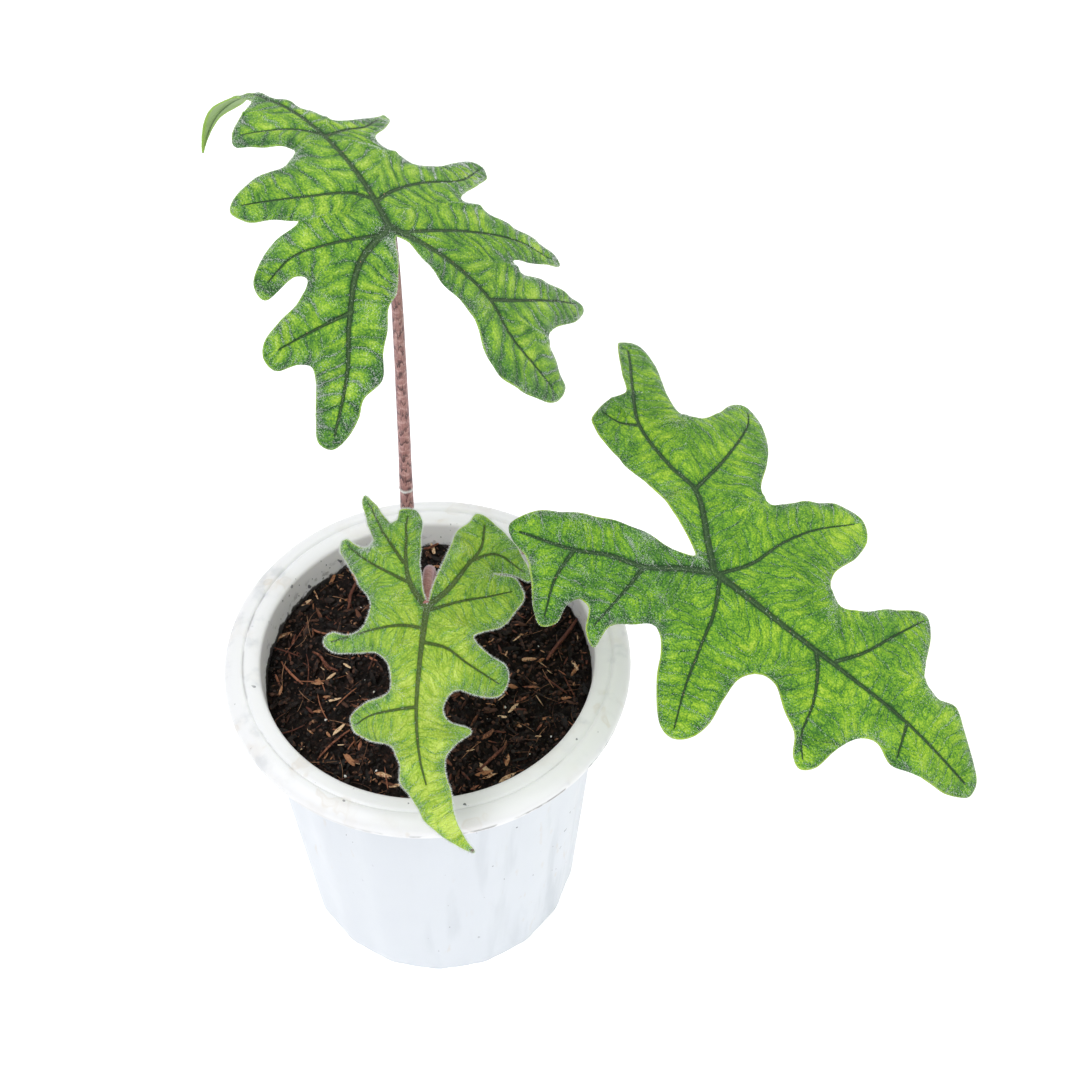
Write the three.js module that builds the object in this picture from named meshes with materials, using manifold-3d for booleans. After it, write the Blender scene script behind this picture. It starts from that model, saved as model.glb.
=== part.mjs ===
// A small jewel alocasia with three antler-shaped leaves, growing in a white nursery pot.
// Millimetres, +Z up, the origin at the middle of the pot's underside.

import * as THREE from 'three';
import { mergeVertices } from 'three/addons/utils/BufferGeometryUtils.js';
import Module from 'manifold-3d';

const wasm = await Module();
wasm.setup();

const DEGREE = Math.PI / 180;
const CLEARANCE = 0.3;

// Pot. The rim's section is [in from the rim's edge, up from its skirt's lower edge], and the
// ledge's is [in from the groove, down from the top].
const POT_HEIGHT = 146.3;
const POT_RIM_RADIUS = 75;
const POT_TOP_RADIUS = 64.8;
const POT_FOOT_RADIUS = 54.9;
const POT_FOOT_BEVEL = 2;
const POT_MOUTH_RADIUS = 61.5;
const POT_MOUTH_DROP = 1.7;
const POT_GROOVE_RADIUS = 67.8;
const POT_RIM_DROP = 7;
const POT_WALL_TOP = POT_HEIGHT - POT_RIM_DROP + 3.4;
const POT_FLOOR = 3;
const POT_FLOOR_RADIUS = 52;
const POT_SEGMENTS = 72;
const RIM_SECTION = [[1.9, 2.4], [1.9, 0], [0.3, 0], [0, 2.2], [1, 4.6], [3.4, 6.4]];
const LEDGE_SECTION = [[-0.9, 0], [0, 0.7], [0.9, 0.1], [5.1, 0.6]];
const RIDGE_COUNT = 18;
const RIDGE_HEIGHT = 0.55;
const RIDGE_LEVELS = [12, 70, 128];
const DRAIN_RADIUS = 4;
const DRAIN_CIRCLE = 34;
const DRAIN_COUNT = 6;

// Soil
const SOIL_EDGE = 134;
const SOIL_MIDDLE = 135.5;
const SOIL_MOUND = 3;
const SOIL_SLOPE = [0.018, 0.012];
const CRUMBS = [
  { height: 0.7, wave: (x, y) => Math.sin(0.37 * x + 1) * Math.cos(0.41 * y) },
  { height: 0.4, wave: (x, y) => Math.sin(0.9 * x - 0.7 * y) },
];
const SOIL_RINGS = 7;
const SOIL_SEED = 21;
const CHIP_COUNT = 46;
const CHIP_LENGTH = 7;
const CHIP_RADII = [0.78, 1.3];
const CHIP_FLATNESS = 0.62;
const CHIP_SCALES = [0.6, 1.4];
const CHIP_TILT = 0.5;
const CHIP_MARGIN = 8;

// Stem base, a stubby corm standing in a plain hole in the soil. Its section above the soil's
// edge and just under it is [in from its radius, up from the soil's edge].
const CORM_PLACE = [1, 12.5];
const CORM_RADIUS = 12;
const CORM_FOOT = 112;
const CORM_SECTION = [[0.2, -4], [1.1, -1], [0.5, 1.2], [1.8, 3.4], [3.6, 5]];
const CORM_TOP = 140;
const CORM_SIDES = 20;

// Stalks: the route of each, its foot first, and the radius along it
const STALK_SIDES = 10;
const SOCKET_SIDES = 12;
const STALKS = {
  petiole_tall: {
    route: [
      [-5.4, 17, 134.3], [-5.6, 18.6, 170], [-5.2, 20, 207],
      [-4, 20.5, 262], [-3.2, 20.2, 312], [-3.4, 20, 335.6],
    ],
    radii: [3.1, 2.6, 2.1, 1.75, 1.7, 1.7],
    steps: 26,
  },
  petiole_right: {
    route: [
      [7.4, 14.6, 134.3], [8.2, 14.7, 142], [17, 14.8, 162], [33.5, 12, 191],
      [58, -2, 214], [82, -18, 224], [96.6, -27.6, 230.4],
    ],
    radii: [2.9, 2.4, 2.1, 1.9, 1.8, 1.8],
    steps: 28,
  },
  petiole_front: {
    route: [
      [1, 6.8, 134.3], [2.2, 9, 160], [2.6, 7, 184],
      [2.6, 0, 194.5], [2.4, -9, 198], [2.7, -17.8, 198.6],
    ],
    radii: [2.7, 2.3, 2, 1.95, 1.9, 1.8],
    steps: 26,
  },
};

// Blades. Each is drawn flat, [along, across]: along runs from the stalk to the tip, and across
// is positive on the left as seen from above with the tip ahead. The form then bends it in space:
// heading turns left from +Y, pitch and roll tilt it, tipBend, backBend and curl bend the midrib
// in degrees a millimetre, and sideRise and sideBend shape the two halves.
const BLADE_THICKNESS = 0.8;
const MAIN_RIB = 1.1;
const SIDE_RIB = 0.7;
const RIB_FADE = 12;
const VEIN_GROOVE = 0.2;
const QUILT_HEIGHT = 0.9;
const QUILT_REACH = 4;
const RIPPLE_REACH = 7;
const BACK_LOBE = 50;

// Spacing of a blade's points. A clearance is [to the edge, to the points already there].
const EDGE_STEP = 3.6;
const VEIN_STEP = 5;
const VEIN_FLANK = 1.3;
const INNER_STEP = 4.8;
const INNER_ROWS = 30;
const MAIN_VEIN_CLEAR = [0.9, 0.9];
const SIDE_VEIN_CLEAR = [1.5, 1.8];
const INNER_CLEAR = [2.2, 2.9];
const NUDGE = 1e-4;
const FAR_CORNERS = [[-1000, -900], [1000, -900], [0, 1500]];

const LEAF_TALL = {
  place: [-3.5, 20, 337],
  form: {
    heading: 28, pitch: 13, roll: 18, tipBend: 0.38, curl: 1.45, curlStart: 70, backBend: 0.34,
    sideRise: -5, sideBend: [0.5, 0.28], sideBendBack: [0.2, 0.2],
  },
  ripple: { height: 0.8, length: 13 },
  outline: [
    [-3, -1], [-14, 4], [-22, 8], [-33, 15], [-39, 19], [-47, 22], [-51, 29], [-56, 32], [-61, 37],
    [-63, 42], [-60, 45], [-53, 44], [-40, 40], [-36, 40], [-34, 43], [-33, 50], [-28, 52], [-23, 50],
    [-19, 44], [-15, 36], [-10, 32], [-8, 35], [-10, 45], [-4, 46], [2, 42], [8, 34], [11, 25],
    [14, 28], [19, 38], [25, 41], [30, 38], [34, 29], [35, 18], [40, 12], [44, 14], [52, 26],
    [59, 26], [66, 19], [71, 12], [74, 9], [79, 13], [86, 16], [96, 16], [105, 15], [115, 12],
    [108, 10], [101, 8], [96, 4], [90, 0], [82, -4], [74, -6], [67, -7], [60, -9], [54, -12],
    [57, -22], [63, -33], [66, -37], [60, -35], [50, -25], [43, -19], [36, -21], [29, -27],
    [29, -35], [34, -46], [38, -56], [36, -61], [30, -59], [23, -50], [13, -36], [10, -41],
    [5, -48], [0, -57], [-5, -67], [-10, -72], [-12, -60], [-13, -46], [-17, -47], [-19, -57],
    [-22, -70], [-26, -81], [-32, -72], [-37, -54], [-41, -48], [-51, -48], [-58, -50], [-63, -43],
    [-63, -35], [-60, -27], [-55, -19], [-49, -15], [-38, -15], [-31, -14], [-21, -9], [-11, -6],
  ],
  mainVeins: [
    [[0, 0], [22, -1], [50, 0], [75, 3], [88, 9], [100, 11], [111, 12]],
    [[0, 1], [-10, 15], [-27, 25], [-42, 31], [-59, 40]],
    [[0, -1], [-13, -15], [-28, -25], [-41, -28], [-59, -41]],
  ],
  sideVeins: [
    [[12, 0], [16, 5], [20, 20], [26, 37]],
    [[45, 0], [51, 7], [57, 22]],
    [[11, -1], [15, -9], [19, -22], [23, -42], [33, -57]],
    [[44, -1], [48, -11], [51, -20], [62, -33]],
    [[-2, 2], [-1, 12], [0, 21], [0, 32], [-5, 42]],
    [[-24, 23], [-25, 31], [-27, 47]],
    [[-2, -4], [-2, -27], [-4, -51], [-9, -66]],
    [[-28, -25], [-28, -38], [-25, -75]],
  ],
};

const LEAF_RIGHT = {
  place: [98, -29, 232],
  form: {
    heading: -124, pitch: -12, roll: 3, tipBend: 0.25, curl: 0, curlStart: 70, backBend: -0.15,
    sideRise: -3, sideBend: [0.28, 0.12], sideBendBack: [0.1, -0.1],
  },
  ripple: { height: 0.7, length: 15 },
  outline: [
    [-8, 1], [-18, 8], [-29, 13], [-41, 14], [-56, 17], [-61, 21], [-64, 26], [-64, 36], [-61, 43],
    [-66, 50], [-73, 63], [-74, 69], [-67, 75], [-61, 71], [-50, 57], [-42, 52], [-37, 56],
    [-33, 66], [-32, 76], [-27, 81], [-21, 77], [-13, 65], [-9, 54], [-5, 42], [1, 38], [6, 45],
    [12, 52], [23, 60], [30, 59], [35, 52], [35, 41], [32, 30], [34, 23], [40, 20], [46, 23],
    [53, 31], [61, 39], [67, 43], [72, 37], [75, 25], [78, 19], [84, 18], [92, 21], [99, 17],
    [108, 11], [113, 6], [113, 0], [105, -6], [93, -9], [84, -13], [76, -11], [70, -14], [66, -22],
    [64, -32], [60, -36], [56, -34], [52, -28], [45, -24], [37, -19], [30, -21], [27, -26],
    [27, -34], [28, -44], [26, -51], [21, -55], [16, -54], [6, -42], [2, -34], [-2, -29], [-6, -28],
    [-11, -32], [-16, -37], [-16, -46], [-21, -43], [-25, -36], [-29, -36], [-31, -40], [-30, -47],
    [-33, -51], [-38, -48], [-45, -40], [-51, -35], [-57, -34], [-61, -31], [-60, -25], [-57, -20],
    [-48, -13], [-40, -8], [-31, -4], [-18, -2], [-12, -1],
  ],
  mainVeins: [
    [[0, 0], [29, -1], [54, 0], [80, 2], [109, 2]],
    [[-1, 1], [-8, 9], [-22, 24], [-33, 26], [-50, 33], [-59, 45], [-70, 66]],
    [[-1, -1], [-8, -5], [-19, -13], [-30, -17], [-40, -23], [-57, -30]],
  ],
  sideVeins: [
    [[2, 1], [8, 11], [12, 26], [18, 40], [28, 55]],
    [[49, 1], [55, 11], [61, 26], [67, 40]],
    [[3, -1], [8, -12], [11, -24], [15, -39], [20, -52]],
    [[42, -1], [46, -6], [51, -16], [54, -27], [59, -33]],
    [[-22, 24], [-21, 44], [-23, 70], [-26, 78]],
    [[-50, 33], [-56, 28], [-62, 27]],
    [[-40, -23], [-39, -35], [-34, -48]],
    [[-19, -13], [-19, -22], [-20, -40]],
    [[80, 2], [84, -10]],
  ],
};

const LEAF_FRONT = {
  place: [2.8, -19.5, 200],
  form: {
    heading: -181, pitch: -27, roll: 8, tipBend: 0.12, curl: 0, curlStart: 70, backBend: 0.12,
    sideRise: -4, sideBend: [0.35, 0.3], sideBendBack: [0.1, 0.1],
  },
  ripple: { height: 1, length: 10 },
  outline: [
    [-1, 0], [-7, 2], [-15, 5], [-22, 8], [-27, 10], [-30, 14], [-33, 16], [-31, 21], [-27, 25],
    [-22, 30], [-13, 36], [-10, 36], [-13, 30], [-13, 24], [-10, 25], [-8, 30], [-4, 33], [1, 30],
    [6, 26], [8, 20], [10, 16], [16, 21], [20, 27], [25, 28], [30, 25], [30, 18], [28, 11],
    [30, 8], [35, 6], [39, 8], [41, 15], [46, 11], [51, 7], [56, 7], [63, 9], [70, 11], [78, 14],
    [83, 17], [81, 12], [78, 7], [72, 0], [65, -4], [60, -8], [52, -9], [47, -12], [45, -20],
    [42, -25], [38, -27], [33, -22], [29, -13], [23, -12], [18, -14], [15, -18], [15, -27],
    [14, -35], [10, -38], [8, -35], [9, -29], [7, -24], [2, -21], [-2, -20], [-9, -25], [-14, -28],
    [-20, -32], [-25, -33], [-26, -29], [-24, -25], [-28, -23], [-35, -25], [-42, -26], [-38, -21],
    [-33, -17], [-30, -14], [-31, -12], [-35, -11], [-34, -5], [-31, -3], [-23, -3], [-16, -3],
    [-8, -2],
  ],
  mainVeins: [
    [[0, 0], [18, -2], [37, -3], [52, -1], [61, 2], [72, 8], [80, 14]],
    [[-1, 1], [-6, 7], [-14, 13], [-21, 18], [-29, 19]],
    [[-1, -1], [-8, -6], [-16, -8], [-32, -8]],
  ],
  sideVeins: [
    [[-16, 14], [-19, 23], [-13, 33]],
    [[1, 1], [-2, 11], [-4, 21], [-6, 29]],
    [[12, -1], [14, 7], [19, 14], [26, 25]],
    [[-9, -7], [-12, -13], [-17, -22], [-23, -30]],
    [[-16, -9], [-26, -16], [-38, -23]],
    [[7, -2], [6, -9], [7, -18], [11, -35]],
    [[34, -3], [35, -11], [37, -20], [40, -25]],
  ],
};

// Finishes
const FINISHES = {
  pot: { color: 0xeceff2, roughness: 0.4 },
  soil: { color: 0x2a1c15, roughness: 0.95 },
  corm: { color: 0x7a5a44, roughness: 0.85 },
  stalk: { color: 0xa77a76, roughness: 0.5 },
  leaf: { color: 0x5f9a33, roughness: 0.45 },
  youngLeaf: { color: 0x8fc040, roughness: 0.45 },
};

function seededRandom(seed) {
  let state = seed;
  return () => {
    state = (state * 1103515245 + 12345) % 2147483648;
    return state / 2147483648;
  };
}

// Solid modelling
function toSolid(geometry) {
  const bare = geometry.index ? geometry.toNonIndexed() : geometry.clone();
  bare.deleteAttribute('normal');
  bare.deleteAttribute('uv');
  const merged = mergeVertices(bare, 1e-4);
  const mesh = new wasm.Mesh({
    numProp: 3,
    vertProperties: new Float32Array(merged.attributes.position.array),
    triVerts: new Uint32Array(merged.index.array),
  });
  return new wasm.Manifold(mesh);
}

function toGeometry(solid) {
  const mesh = solid.getMesh();
  const geometry = new THREE.BufferGeometry();
  geometry.setAttribute('position', new THREE.BufferAttribute(new Float32Array(mesh.vertProperties), 3));
  geometry.setIndex(new THREE.BufferAttribute(new Uint32Array(mesh.triVerts), 1));
  return geometry;
}

function largestBody(solid) {
  return solid.decompose().reduce((best, piece) => (piece.volume() > best.volume() ? piece : best));
}

function toMesh(name, geometry, finish) {
  geometry.computeVertexNormals();
  const material = new THREE.MeshStandardMaterial({ ...FINISHES[finish], metalness: 0 });
  const mesh = new THREE.Mesh(geometry, material);
  mesh.name = name;
  return mesh;
}

function uprightCylinder(radius, bottom, top, [x, y], sides) {
  const geometry = new THREE.CylinderGeometry(radius, radius, top - bottom, sides);
  geometry.rotateX(Math.PI / 2);
  geometry.translate(x, y, (top + bottom) / 2);
  return geometry;
}

function turned(profile, segments) {
  const geometry = new THREE.LatheGeometry(profile.map(([r, z]) => new THREE.Vector2(r, z)), segments);
  geometry.rotateX(Math.PI / 2);
  return geometry;
}

// Pot
function wallRadius(z) {
  return POT_FOOT_RADIUS + ((POT_TOP_RADIUS - POT_FOOT_RADIUS) * z) / POT_WALL_TOP;
}

function innerRadius(z) {
  const rise = (z - POT_FLOOR) / (POT_HEIGHT - POT_MOUTH_DROP - POT_FLOOR);
  return POT_FLOOR_RADIUS + (POT_MOUTH_RADIUS - POT_FLOOR_RADIUS) * rise;
}

function potProfile() {
  return [
    [0, 0],
    [POT_FOOT_RADIUS - POT_FOOT_BEVEL, 0],
    [POT_FOOT_RADIUS, POT_FOOT_BEVEL],
    ...RIDGE_LEVELS.map((z) => [wallRadius(z), z]),
    [POT_TOP_RADIUS, POT_WALL_TOP],
    ...RIM_SECTION.map(([inwards, up]) => [POT_RIM_RADIUS - inwards, POT_HEIGHT - POT_RIM_DROP + up]),
    ...LEDGE_SECTION.map(([inwards, down]) => [POT_GROOVE_RADIUS - inwards, POT_HEIGHT - down]),
    [POT_MOUTH_RADIUS, POT_HEIGHT - POT_MOUTH_DROP],
    [POT_FLOOR_RADIUS, POT_FLOOR],
    [0, POT_FLOOR],
  ];
}

// The wall has broad flat panels that meet in low rounded ridges.
function addRidges(geometry) {
  const position = geometry.attributes.position;
  for (let i = 0; i < position.count; i += 1) {
    const x = position.getX(i);
    const y = position.getY(i);
    const z = position.getZ(i);
    const radius = Math.hypot(x, y);
    const level = z > POT_FOOT_BEVEL / 2 && z < POT_HEIGHT - 2 * POT_RIM_DROP;
    if (level && radius > innerRadius(z) + 1) {
      const angle = Math.atan2(x, -y) * RIDGE_COUNT;
      const grown = 1 + (RIDGE_HEIGHT * Math.cos(angle)) / radius;
      position.setXYZ(i, x * grown, y * grown, z);
    }
  }
}

function makePot() {
  const geometry = turned(potProfile(), POT_SEGMENTS);
  addRidges(geometry);
  let pot = toSolid(geometry);
  for (let i = 0; i < DRAIN_COUNT; i += 1) {
    const angle = ((i + 0.5) / DRAIN_COUNT) * Math.PI * 2;
    const place = [DRAIN_CIRCLE * Math.cos(angle), DRAIN_CIRCLE * Math.sin(angle)];
    pot = pot.subtract(toSolid(uprightCylinder(DRAIN_RADIUS, -1, POT_FLOOR + 1, place, 12)));
  }
  return toMesh('pot', toGeometry(pot), 'pot');
}

// Soil: a low uneven mound with bark chips lying in it
function soilHeight(x, y) {
  const radius = Math.hypot(x, y) / POT_MOUTH_RADIUS;
  const level = SOIL_MIDDLE - SOIL_MOUND * radius * radius + SOIL_SLOPE[0] * x + SOIL_SLOPE[1] * y;
  return CRUMBS.reduce((sum, { height, wave }) => sum + height * wave(x, y), level);
}

function soilBody() {
  const bottom = POT_FLOOR + CLEARANCE;
  const edge = innerRadius(SOIL_EDGE) - CLEARANCE;
  const profile = [[0, bottom], [innerRadius(bottom) - CLEARANCE, bottom], [edge, SOIL_EDGE]];
  for (let ring = SOIL_RINGS - 1; ring >= 0; ring -= 1) {
    profile.push([(edge * ring) / SOIL_RINGS, SOIL_EDGE]);
  }
  const geometry = turned(profile, POT_SEGMENTS / 2);
  const position = geometry.attributes.position;
  for (let i = 0; i < position.count; i += 1) {
    const x = position.getX(i);
    const y = position.getY(i);
    const inside = Math.hypot(x, y) < edge - CLEARANCE;
    if (inside && position.getZ(i) > SOIL_EDGE - 1) position.setZ(i, soilHeight(x, y));
  }
  return toSolid(geometry);
}

function makeChip(random) {
  const radius = (POT_MOUTH_RADIUS - CHIP_MARGIN) * Math.sqrt(random());
  const angle = random() * Math.PI * 2;
  const x = radius * Math.cos(angle);
  const y = radius * Math.sin(angle);
  const size = CHIP_SCALES[0] + (CHIP_SCALES[1] - CHIP_SCALES[0]) * random();
  const chip = new THREE.CylinderGeometry(...CHIP_RADII, CHIP_LENGTH, 4);
  chip.scale(size, size, size * CHIP_FLATNESS);
  chip.rotateX((random() - 0.5) * CHIP_TILT);
  chip.rotateZ(random() * Math.PI * 2);
  chip.translate(x, y, soilHeight(x, y));
  return chip;
}

function makeSoil() {
  const random = seededRandom(SOIL_SEED);
  let soil = soilBody();
  for (let i = 0; i < CHIP_COUNT; i += 1) soil = soil.add(toSolid(makeChip(random)));
  const bottom = CORM_FOOT - CLEARANCE;
  const hole = uprightCylinder(CORM_RADIUS + CLEARANCE, bottom, POT_HEIGHT, CORM_PLACE, CORM_SIDES);
  soil = largestBody(soil.subtract(toSolid(hole)));
  return toMesh('soil', toGeometry(soil), 'soil');
}

// Stem base: a ringed corm with a plain socket for the foot of each stalk
function makeCorm() {
  const profile = [
    [0, CORM_FOOT],
    [CORM_RADIUS - 2, CORM_FOOT],
    [CORM_RADIUS - 0.2, CORM_FOOT + 4],
    ...CORM_SECTION.map(([inwards, up]) => [CORM_RADIUS - inwards, SOIL_EDGE + up]),
    [0, CORM_TOP],
  ];
  const geometry = turned(profile, CORM_SIDES);
  geometry.translate(CORM_PLACE[0], CORM_PLACE[1], 0);
  let corm = toSolid(geometry);
  for (const stalk of Object.values(STALKS)) {
    const [x, y, z] = stalk.route[0];
    const radius = stalk.radii[0] + 2 * CLEARANCE;
    const foot = uprightCylinder(radius, z - CLEARANCE, z + 1, [x, y], SOCKET_SIDES);
    const room = { ...stalk, radii: stalk.radii.map((r) => r + 2 * CLEARANCE) };
    corm = corm.subtract(toSolid(foot)).subtract(stalkSolid(room));
  }
  return toMesh('stem_base', toGeometry(largestBody(corm)), 'corm');
}

// Stalks: round tubes along their routes, thinner towards the blade
function stalkRadius(radii, along) {
  const place = along * (radii.length - 1);
  const index = Math.min(Math.floor(place), radii.length - 2);
  return radii[index] + (radii[index + 1] - radii[index]) * (place - index);
}

function stalkSolid({ route, radii, steps }) {
  const path = new THREE.CatmullRomCurve3(route.map((point) => new THREE.Vector3(...point)));
  const section = new THREE.Shape();
  section.absarc(0, 0, 1, 0, Math.PI * 2);
  const points = section.getSpacedPoints(STALK_SIDES).slice(0, STALK_SIDES);
  const shape = new THREE.Shape(points);
  const tube = new THREE.ExtrudeGeometry(shape, { steps, extrudePath: path, curveSegments: 1 });
  const stations = path.getSpacedPoints(steps);
  const position = tube.attributes.position;
  const point = new THREE.Vector3();
  for (let i = 0; i < position.count; i += 1) {
    point.fromBufferAttribute(position, i);
    const distances = stations.map((station) => Math.abs(station.distanceTo(point) - 1));
    const near = distances.indexOf(Math.min(...distances));
    point.sub(stations[near]).multiplyScalar(stalkRadius(radii, near / steps)).add(stations[near]);
    position.setXYZ(i, point.x, point.y, point.z);
  }
  return toSolid(tube);
}

// Blades, flat work
function closedCurvePoints(outline, step) {
  const corners = outline.map(([u, v]) => new THREE.Vector3(u, v, 0));
  const curve = new THREE.CatmullRomCurve3(corners, true, 'centripetal');
  const count = Math.round(curve.getLength() / step);
  return curve.getSpacedPoints(count).slice(0, count).map((p) => [p.x, p.y]);
}

function openCurvePoints(line, step) {
  const corners = line.map(([u, v]) => new THREE.Vector3(u, v, 0));
  const curve = new THREE.CatmullRomCurve3(corners, false, 'centripetal');
  const count = Math.max(2, Math.round(curve.getLength() / step));
  return curve.getSpacedPoints(count).map((p) => [p.x, p.y]);
}

function isInside([x, y], polygon) {
  let inside = false;
  for (let i = 0, j = polygon.length - 1; i < polygon.length; j = i, i += 1) {
    const [xi, yi] = polygon[i];
    const [xj, yj] = polygon[j];
    if (yi > y !== yj > y && x < ((xj - xi) * (y - yi)) / (yj - yi) + xi) inside = !inside;
  }
  return inside;
}

function distanceToSegment([x, y], [ax, ay], [bx, by]) {
  const [dx, dy] = [bx - ax, by - ay];
  const along = ((x - ax) * dx + (y - ay) * dy) / (dx * dx + dy * dy);
  const t = Math.max(0, Math.min(1, along));
  return Math.hypot(x - ax - t * dx, y - ay - t * dy);
}

function distanceToLine(point, line, closed = false) {
  let best = Infinity;
  const last = closed ? line.length : line.length - 1;
  for (let i = 0; i < last; i += 1) {
    best = Math.min(best, distanceToSegment(point, line[i], line[(i + 1) % line.length]));
  }
  return best;
}

function distanceToLines(point, lines) {
  return Math.min(...lines.map((line) => distanceToLine(point, line)));
}

function distanceToPoints([x, y], points) {
  return points.reduce((best, [px, py]) => Math.min(best, Math.hypot(x - px, y - py)), Infinity);
}

// Points along a main vein come in three rows, so that its rib has a foot on either side.
function veinRows(line) {
  const middle = openCurvePoints(line, VEIN_STEP);
  const rows = [];
  middle.forEach(([x, y], i) => {
    const [ax, ay] = middle[Math.max(0, i - 1)];
    const [bx, by] = middle[Math.min(middle.length - 1, i + 1)];
    const length = Math.hypot(bx - ax, by - ay);
    const side = [(-(by - ay) / length) * VEIN_FLANK, ((bx - ax) / length) * VEIN_FLANK];
    rows.push([x, y], [x + side[0], y + side[1]], [x - side[0], y - side[1]]);
  });
  return rows;
}

function bladePoints(leaf, edge) {
  const points = [];
  const keep = (candidates, [edgeGap, gap]) => {
    for (const point of candidates) {
      const clear = isInside(point, edge) && distanceToLine(point, edge, true) > edgeGap;
      if (clear && distanceToPoints(point, points) > gap) points.push(point);
    }
  };
  leaf.mainVeins.forEach((line) => keep(veinRows(line), MAIN_VEIN_CLEAR));
  leaf.sideVeins.forEach((line) => keep(openCurvePoints(line, VEIN_STEP), SIDE_VEIN_CLEAR));
  const lattice = [];
  const rowStep = INNER_STEP * Math.sin(60 * DEGREE);
  for (let row = -INNER_ROWS; row <= INNER_ROWS; row += 1) {
    for (let column = -INNER_ROWS; column <= INNER_ROWS; column += 1) {
      lattice.push([row * rowStep, (column + (row % 2 ? 0.5 : 0)) * INNER_STEP]);
    }
  }
  keep(lattice, INNER_CLEAR);
  return points;
}

// Delaunay triangles of the points, by adding them one at a time
function circumcircle([ax, ay], [bx, by], [cx, cy]) {
  const d = 2 * (ax * (by - cy) + bx * (cy - ay) + cx * (ay - by));
  const a = ax * ax + ay * ay;
  const b = bx * bx + by * by;
  const c = cx * cx + cy * cy;
  const x = (a * (by - cy) + b * (cy - ay) + c * (ay - by)) / d;
  const y = (a * (cx - bx) + b * (ax - cx) + c * (bx - ax)) / d;
  return { x, y, reach: (ax - x) ** 2 + (ay - y) ** 2 };
}

function delaunay(points) {
  const all = [...points, ...FAR_CORNERS];
  const makeTriangle = (...corners) => ({ corners, ...circumcircle(...corners.map((i) => all[i])) });
  const first = points.length;
  let triangles = [makeTriangle(first, first + 1, first + 2)];
  points.forEach(([x, y], index) => {
    const edges = new Map();
    const kept = [];
    for (const triangle of triangles) {
      if ((x - triangle.x) ** 2 + (y - triangle.y) ** 2 >= triangle.reach) {
        kept.push(triangle);
      } else {
        const [i, j, k] = triangle.corners;
        for (const [a, b] of [[i, j], [j, k], [k, i]]) {
          const reverse = `${b},${a}`;
          if (edges.has(reverse)) edges.delete(reverse);
          else edges.set(`${a},${b}`, [a, b]);
        }
      }
    }
    triangles = kept;
    for (const [a, b] of edges.values()) triangles.push(makeTriangle(a, b, index));
  });
  return triangles.map((t) => t.corners).filter((corners) => Math.max(...corners) < first);
}

// The edge points come first. An outline side that the triangles miss is halved until they hold it.
// The nudges keep four points from lying on one circle.
function flatBlade(leaf) {
  let edge = closedCurvePoints(leaf.outline, EDGE_STEP);
  for (;;) {
    const points = [...edge, ...bladePoints(leaf, edge)];
    const nudged = points.map(([x, y], i) => [x + NUDGE * Math.sin(7 * i), y + NUDGE * Math.cos(5 * i)]);
    const middle = (t) => [0, 1].map((axis) => t.reduce((sum, i) => sum + points[i][axis], 0) / 3);
    const triangles = delaunay(nudged).filter((t) => isInside(middle(t), edge));
    const sides = new Set(triangles.flatMap(([i, j, k]) => [`${i},${j}`, `${j},${k}`, `${k},${i}`]));
    const missing = edge.map((_, i) => i).filter((i) => {
      const next = (i + 1) % edge.length;
      return !sides.has(`${i},${next}`) && !sides.has(`${next},${i}`);
    });
    if (!missing.length) return { points, triangles, edgeCount: edge.length };
    const broken = new Set(missing);
    edge = edge.flatMap((point, i) => {
      const next = edge[(i + 1) % edge.length];
      return broken.has(i) ? [point, [(point[0] + next[0]) / 2, (point[1] + next[1]) / 2]] : [point];
    });
  }
}

// Blades, bent in space
function arc(start, bend, length) {
  const b = Math.abs(bend) < 1e-6 ? 1e-6 : bend;
  return {
    ahead: (Math.sin(start) - Math.sin(start - b * length)) / b,
    up: (Math.cos(start - b * length) - Math.cos(start)) / b,
  };
}

function midribPitch(form, along) {
  if (along < 0) return (form.pitch - form.backBend * along) * DEGREE;
  const curled = form.curl * Math.max(0, along - form.curlStart);
  return (form.pitch - form.tipBend * along - curled) * DEGREE;
}

function midribPlace(form, along) {
  const steps = Math.max(1, Math.ceil(Math.abs(along)));
  const step = along / steps;
  let ahead = 0;
  let up = 0;
  for (let i = 0; i < steps; i += 1) {
    const pitch = midribPitch(form, (i + 0.5) * step);
    ahead += Math.cos(pitch) * step;
    up += Math.sin(pitch) * step;
  }
  return { ahead, up };
}

function bladePlace(leaf, [along, across]) {
  const { form } = leaf;
  const side = across >= 0 ? 0 : 1;
  const backwards = Math.max(0, -along) / BACK_LOBE;
  const bend = (form.sideBend[side] + form.sideBendBack[side] * backwards) * DEGREE;
  const half = arc(form.sideRise * DEGREE, bend, Math.abs(across));
  const pitch = midribPitch(form, along);
  const spine = midribPlace(form, along);
  const point = new THREE.Vector3(
    -Math.sign(across) * half.ahead,
    spine.ahead - Math.sin(pitch) * half.up,
    spine.up + Math.cos(pitch) * half.up,
  );
  const start = form.pitch * DEGREE;
  point.applyAxisAngle(new THREE.Vector3(0, Math.cos(start), Math.sin(start)), form.roll * DEGREE);
  point.applyAxisAngle(new THREE.Vector3(0, 0, 1), form.heading * DEGREE);
  return point.add(new THREE.Vector3(...leaf.place));
}

function bladeNormal(leaf, [along, across]) {
  const step = 0.2;
  const ahead = bladePlace(leaf, [along + step, across]).sub(bladePlace(leaf, [along - step, across]));
  const left = bladePlace(leaf, [along, across + step]).sub(bladePlace(leaf, [along, across - step]));
  return ahead.cross(left).normalize();
}

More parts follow.
